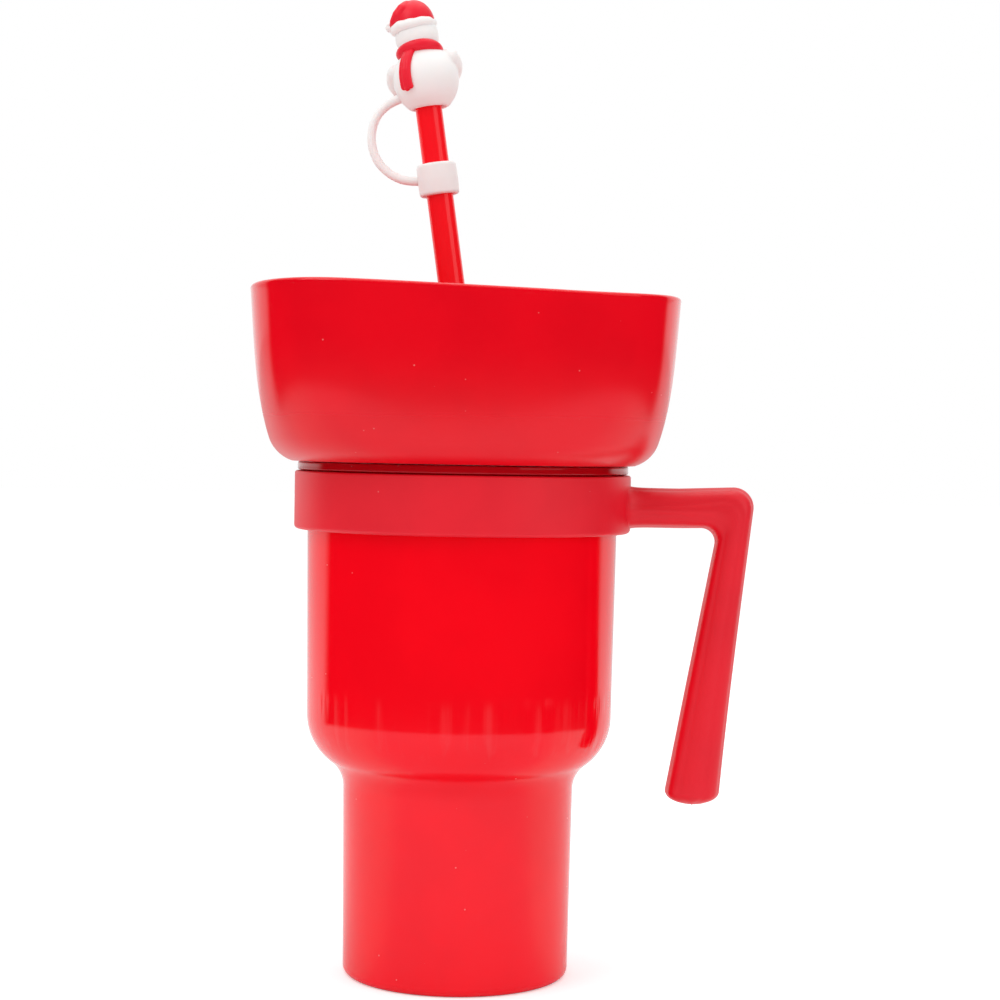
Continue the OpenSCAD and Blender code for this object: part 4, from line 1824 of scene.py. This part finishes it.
@dataclass
class Studio:
    """The camera, the pale floor and the soft light.

    Attributes:
        camera_at: Place of the camera, metres.
        right: The camera's right, with up and ahead.
        lens: Focal length for a sensor of sensor millimetres.
        table_reach: Distance at which the floor's reflection ends, metres.
        table_blur: Half the width of that end, metres.
        backdrop: Direction from the object to the white backdrop.
        backdrop_edge: How far off that direction the backdrop ends, as cosines.
        top_edge: Heights of a direction between which the white above sets in.
        front_edge: Cosines between which the floor's reflection takes its painted tint.
        dim: Brightness of the dark side in reflections.
        even: Brightness of the world as a light.
        floor_paint: Colour of the floor.
        floor_reflection_paint: A pinkish tint painted into the floor's reflection in front,
            not its own colour.
        floor_glow: Light added to the floor as the camera sees it.
    """

    camera_at: tuple[float, float, float] = (0.065534, -0.749053, 0.1793)
    right: tuple[float, float, float] = (0.997311, 0.071106, 0.017727)
    up: tuple[float, float, float] = (-0.019624, 0.026075, 0.999467)
    ahead: tuple[float, float, float] = (-0.070606, 0.997128, -0.0274)
    lens: float = 81.0
    sensor: float = 36.0
    table_reach: float = 0.53
    table_blur: float = 0.10
    backdrop: tuple[float, float, float] = (-0.148, 0.989, 0.0)
    backdrop_edge: Point = (0.42, 0.58)
    top_edge: Point = (0.45, 0.75)
    front_edge: Point = (-0.2, -0.6)
    dim: float = 0.005
    even: float = 0.78
    floor_paint: Colour = (0.92, 0.92, 0.92)
    floor_reflection_paint: Colour = (0.9, 0.64, 0.76)
    floor_glow: float = 0.36

    def camera(self) -> None:
        """Sets the camera at the photograph's angle."""
        data = bpy.data.cameras.new("camera")
        data.lens, data.sensor_width = self.lens, self.sensor
        data.sensor_fit = "HORIZONTAL"
        obj = bpy.data.objects.new("camera", data)
        bpy.context.scene.collection.objects.link(obj)
        turn = Matrix((self.right, self.up, [-x for x in self.ahead])).transposed()
        obj.matrix_world = Matrix.Translation(self.camera_at) @ turn.to_4x4()
        bpy.context.scene.camera = obj

    def world(self) -> None:
        """A white backdrop, a darker side in front and even light."""
        world = bpy.data.worlds.new("studio")
        bpy.context.scene.world = world
        world.use_nodes = True
        board = Board(world.node_tree)
        aim = board.node("ShaderNodeTexCoord", None, out="Generated")
        facing = {"operation": "DOT_PRODUCT"}
        forward = board.node("ShaderNodeVectorMath", facing, aim, self.backdrop, out="Value")
        upward = board.node("ShaderNodeSeparateXYZ", None, aim, out="Z")
        rays = ("Is Camera Ray", "Is Glossy Ray", "Is Transmission Ray")
        seen, gloss, clear = (
            board.node("ShaderNodeLightPath", None, out=name) for name in rays
        )
        behind = forward.step(*self.backdrop_edge)
        over = upward.step(*self.top_edge)
        bright = board.node("ShaderNodeMath", {"operation": "MAXIMUM"}, behind, over)
        mirror = self.dim + bright * (1.0 - self.dim)
        rest = (1.0 - seen) * (1.0 - gloss) * (1.0 - clear)
        unseen = clear * (1.0 - seen) + gloss * (1.0 - seen) * mirror + rest * self.even
        power = seen + unseen
        glow = board.node("ShaderNodeBackground", None, Color=(1, 1, 1, 1), Strength=power)
        board.node("ShaderNodeOutputWorld", None, glow)

    def floor(self) -> None:
        """A pale floor that keeps the shadow and ends in front as a table does. Its
        reflection in front carries a painted tint.
        """
        mesh = bpy.data.meshes.new("floor")
        bm = bmesh.new()
        bmesh.ops.create_grid(bm, x_segments=1, y_segments=1, size=6.0)
        bm.to_mesh(mesh)
        bm.free()
        obj = linked("floor", mesh)
        made = bpy.data.materials.new("pale_floor")
        made.use_nodes = True
        board = Board(made.node_tree)
        place = board.node("ShaderNodeTexCoord", None, out="Object")
        size = {"operation": "LENGTH"}
        reach = board.node("ShaderNodeVectorMath", size, place, out="Value")
        facing = {"operation": "DOT_PRODUCT"}
        back = board.node("ShaderNodeVectorMath", facing, place, self.backdrop, out="Value")
        behind = back / reach
        seen = board.node("ShaderNodeLightPath", None, out="Is Camera Ray")
        gloss = board.node("ShaderNodeLightPath", None, out="Is Glossy Ray")
        near, far = self.table_reach - self.table_blur, self.table_reach + self.table_blur
        aside = behind.step(*reversed(self.backdrop_edge))
        dark = gloss * reach.step(near, far) * aside
        front = behind.step(*self.front_edge)
        # Painted reflection: in front, reflected rays see the floor tinted pink, not its own
        # pale colour.
        painted_reflection = board.mix(gloss * front, self.floor_paint, self.floor_reflection_paint)
        paint = board.mix(dark, painted_reflection, (0.0, 0.0, 0.0))
        plain = board.node("ShaderNodeBsdfDiffuse", None, paint)
        white = (1.0, 1.0, 1.0, 1.0)
        glow = board.node("ShaderNodeEmission", None, white, seen * self.floor_glow)
        both = board.node("ShaderNodeAddShader", None, plain, glow)
        board.node("ShaderNodeOutputMaterial", None, both)
        mesh.materials.append(made)

    def lamps(self) -> None:
        """Three large soft lamps."""
        for name, place, size, power in (
            ("key", (-0.9, -0.9, 1.3), 0.9, 6.0),
            ("fill", (1.2, -0.7, 0.7), 0.9, 2.5),
            ("top", (0.0, 0.2, 1.5), 1.2, 6.0),
        ):
            data = bpy.data.lights.new(name, "AREA")
            data.shape, data.size, data.energy = "SQUARE", size, power
            obj = bpy.data.objects.new(name, data)
            bpy.context.scene.collection.objects.link(obj)
            aim = Vector((0, 0, 0.13)) - Vector(place)
            turn = aim.to_track_quat("-Z", "Y").to_matrix().to_4x4()
            obj.matrix_world = Matrix.Translation(place) @ turn

    def build(self) -> None:
        """Sets the whole stage."""
        self.camera()
        self.world()
        self.floor()
        self.lamps()
        view = bpy.context.scene.view_settings
        view.view_transform = "Standard"


def main() -> None:
    """Builds the studio and every sub-assembly."""
    Studio().build()
    straw = Straw()
    for part in (Cup(), Handle(), Bowl(), straw, Tether(straw), Snowman(straw)):
        part.build()
        log.info("%s built", type(part).__name__)
    dress("bowl_seal", SEAL_RUBBER)
    dress("straw_bush", SEAL_RUBBER)


if __name__ == "__main__":
    main()
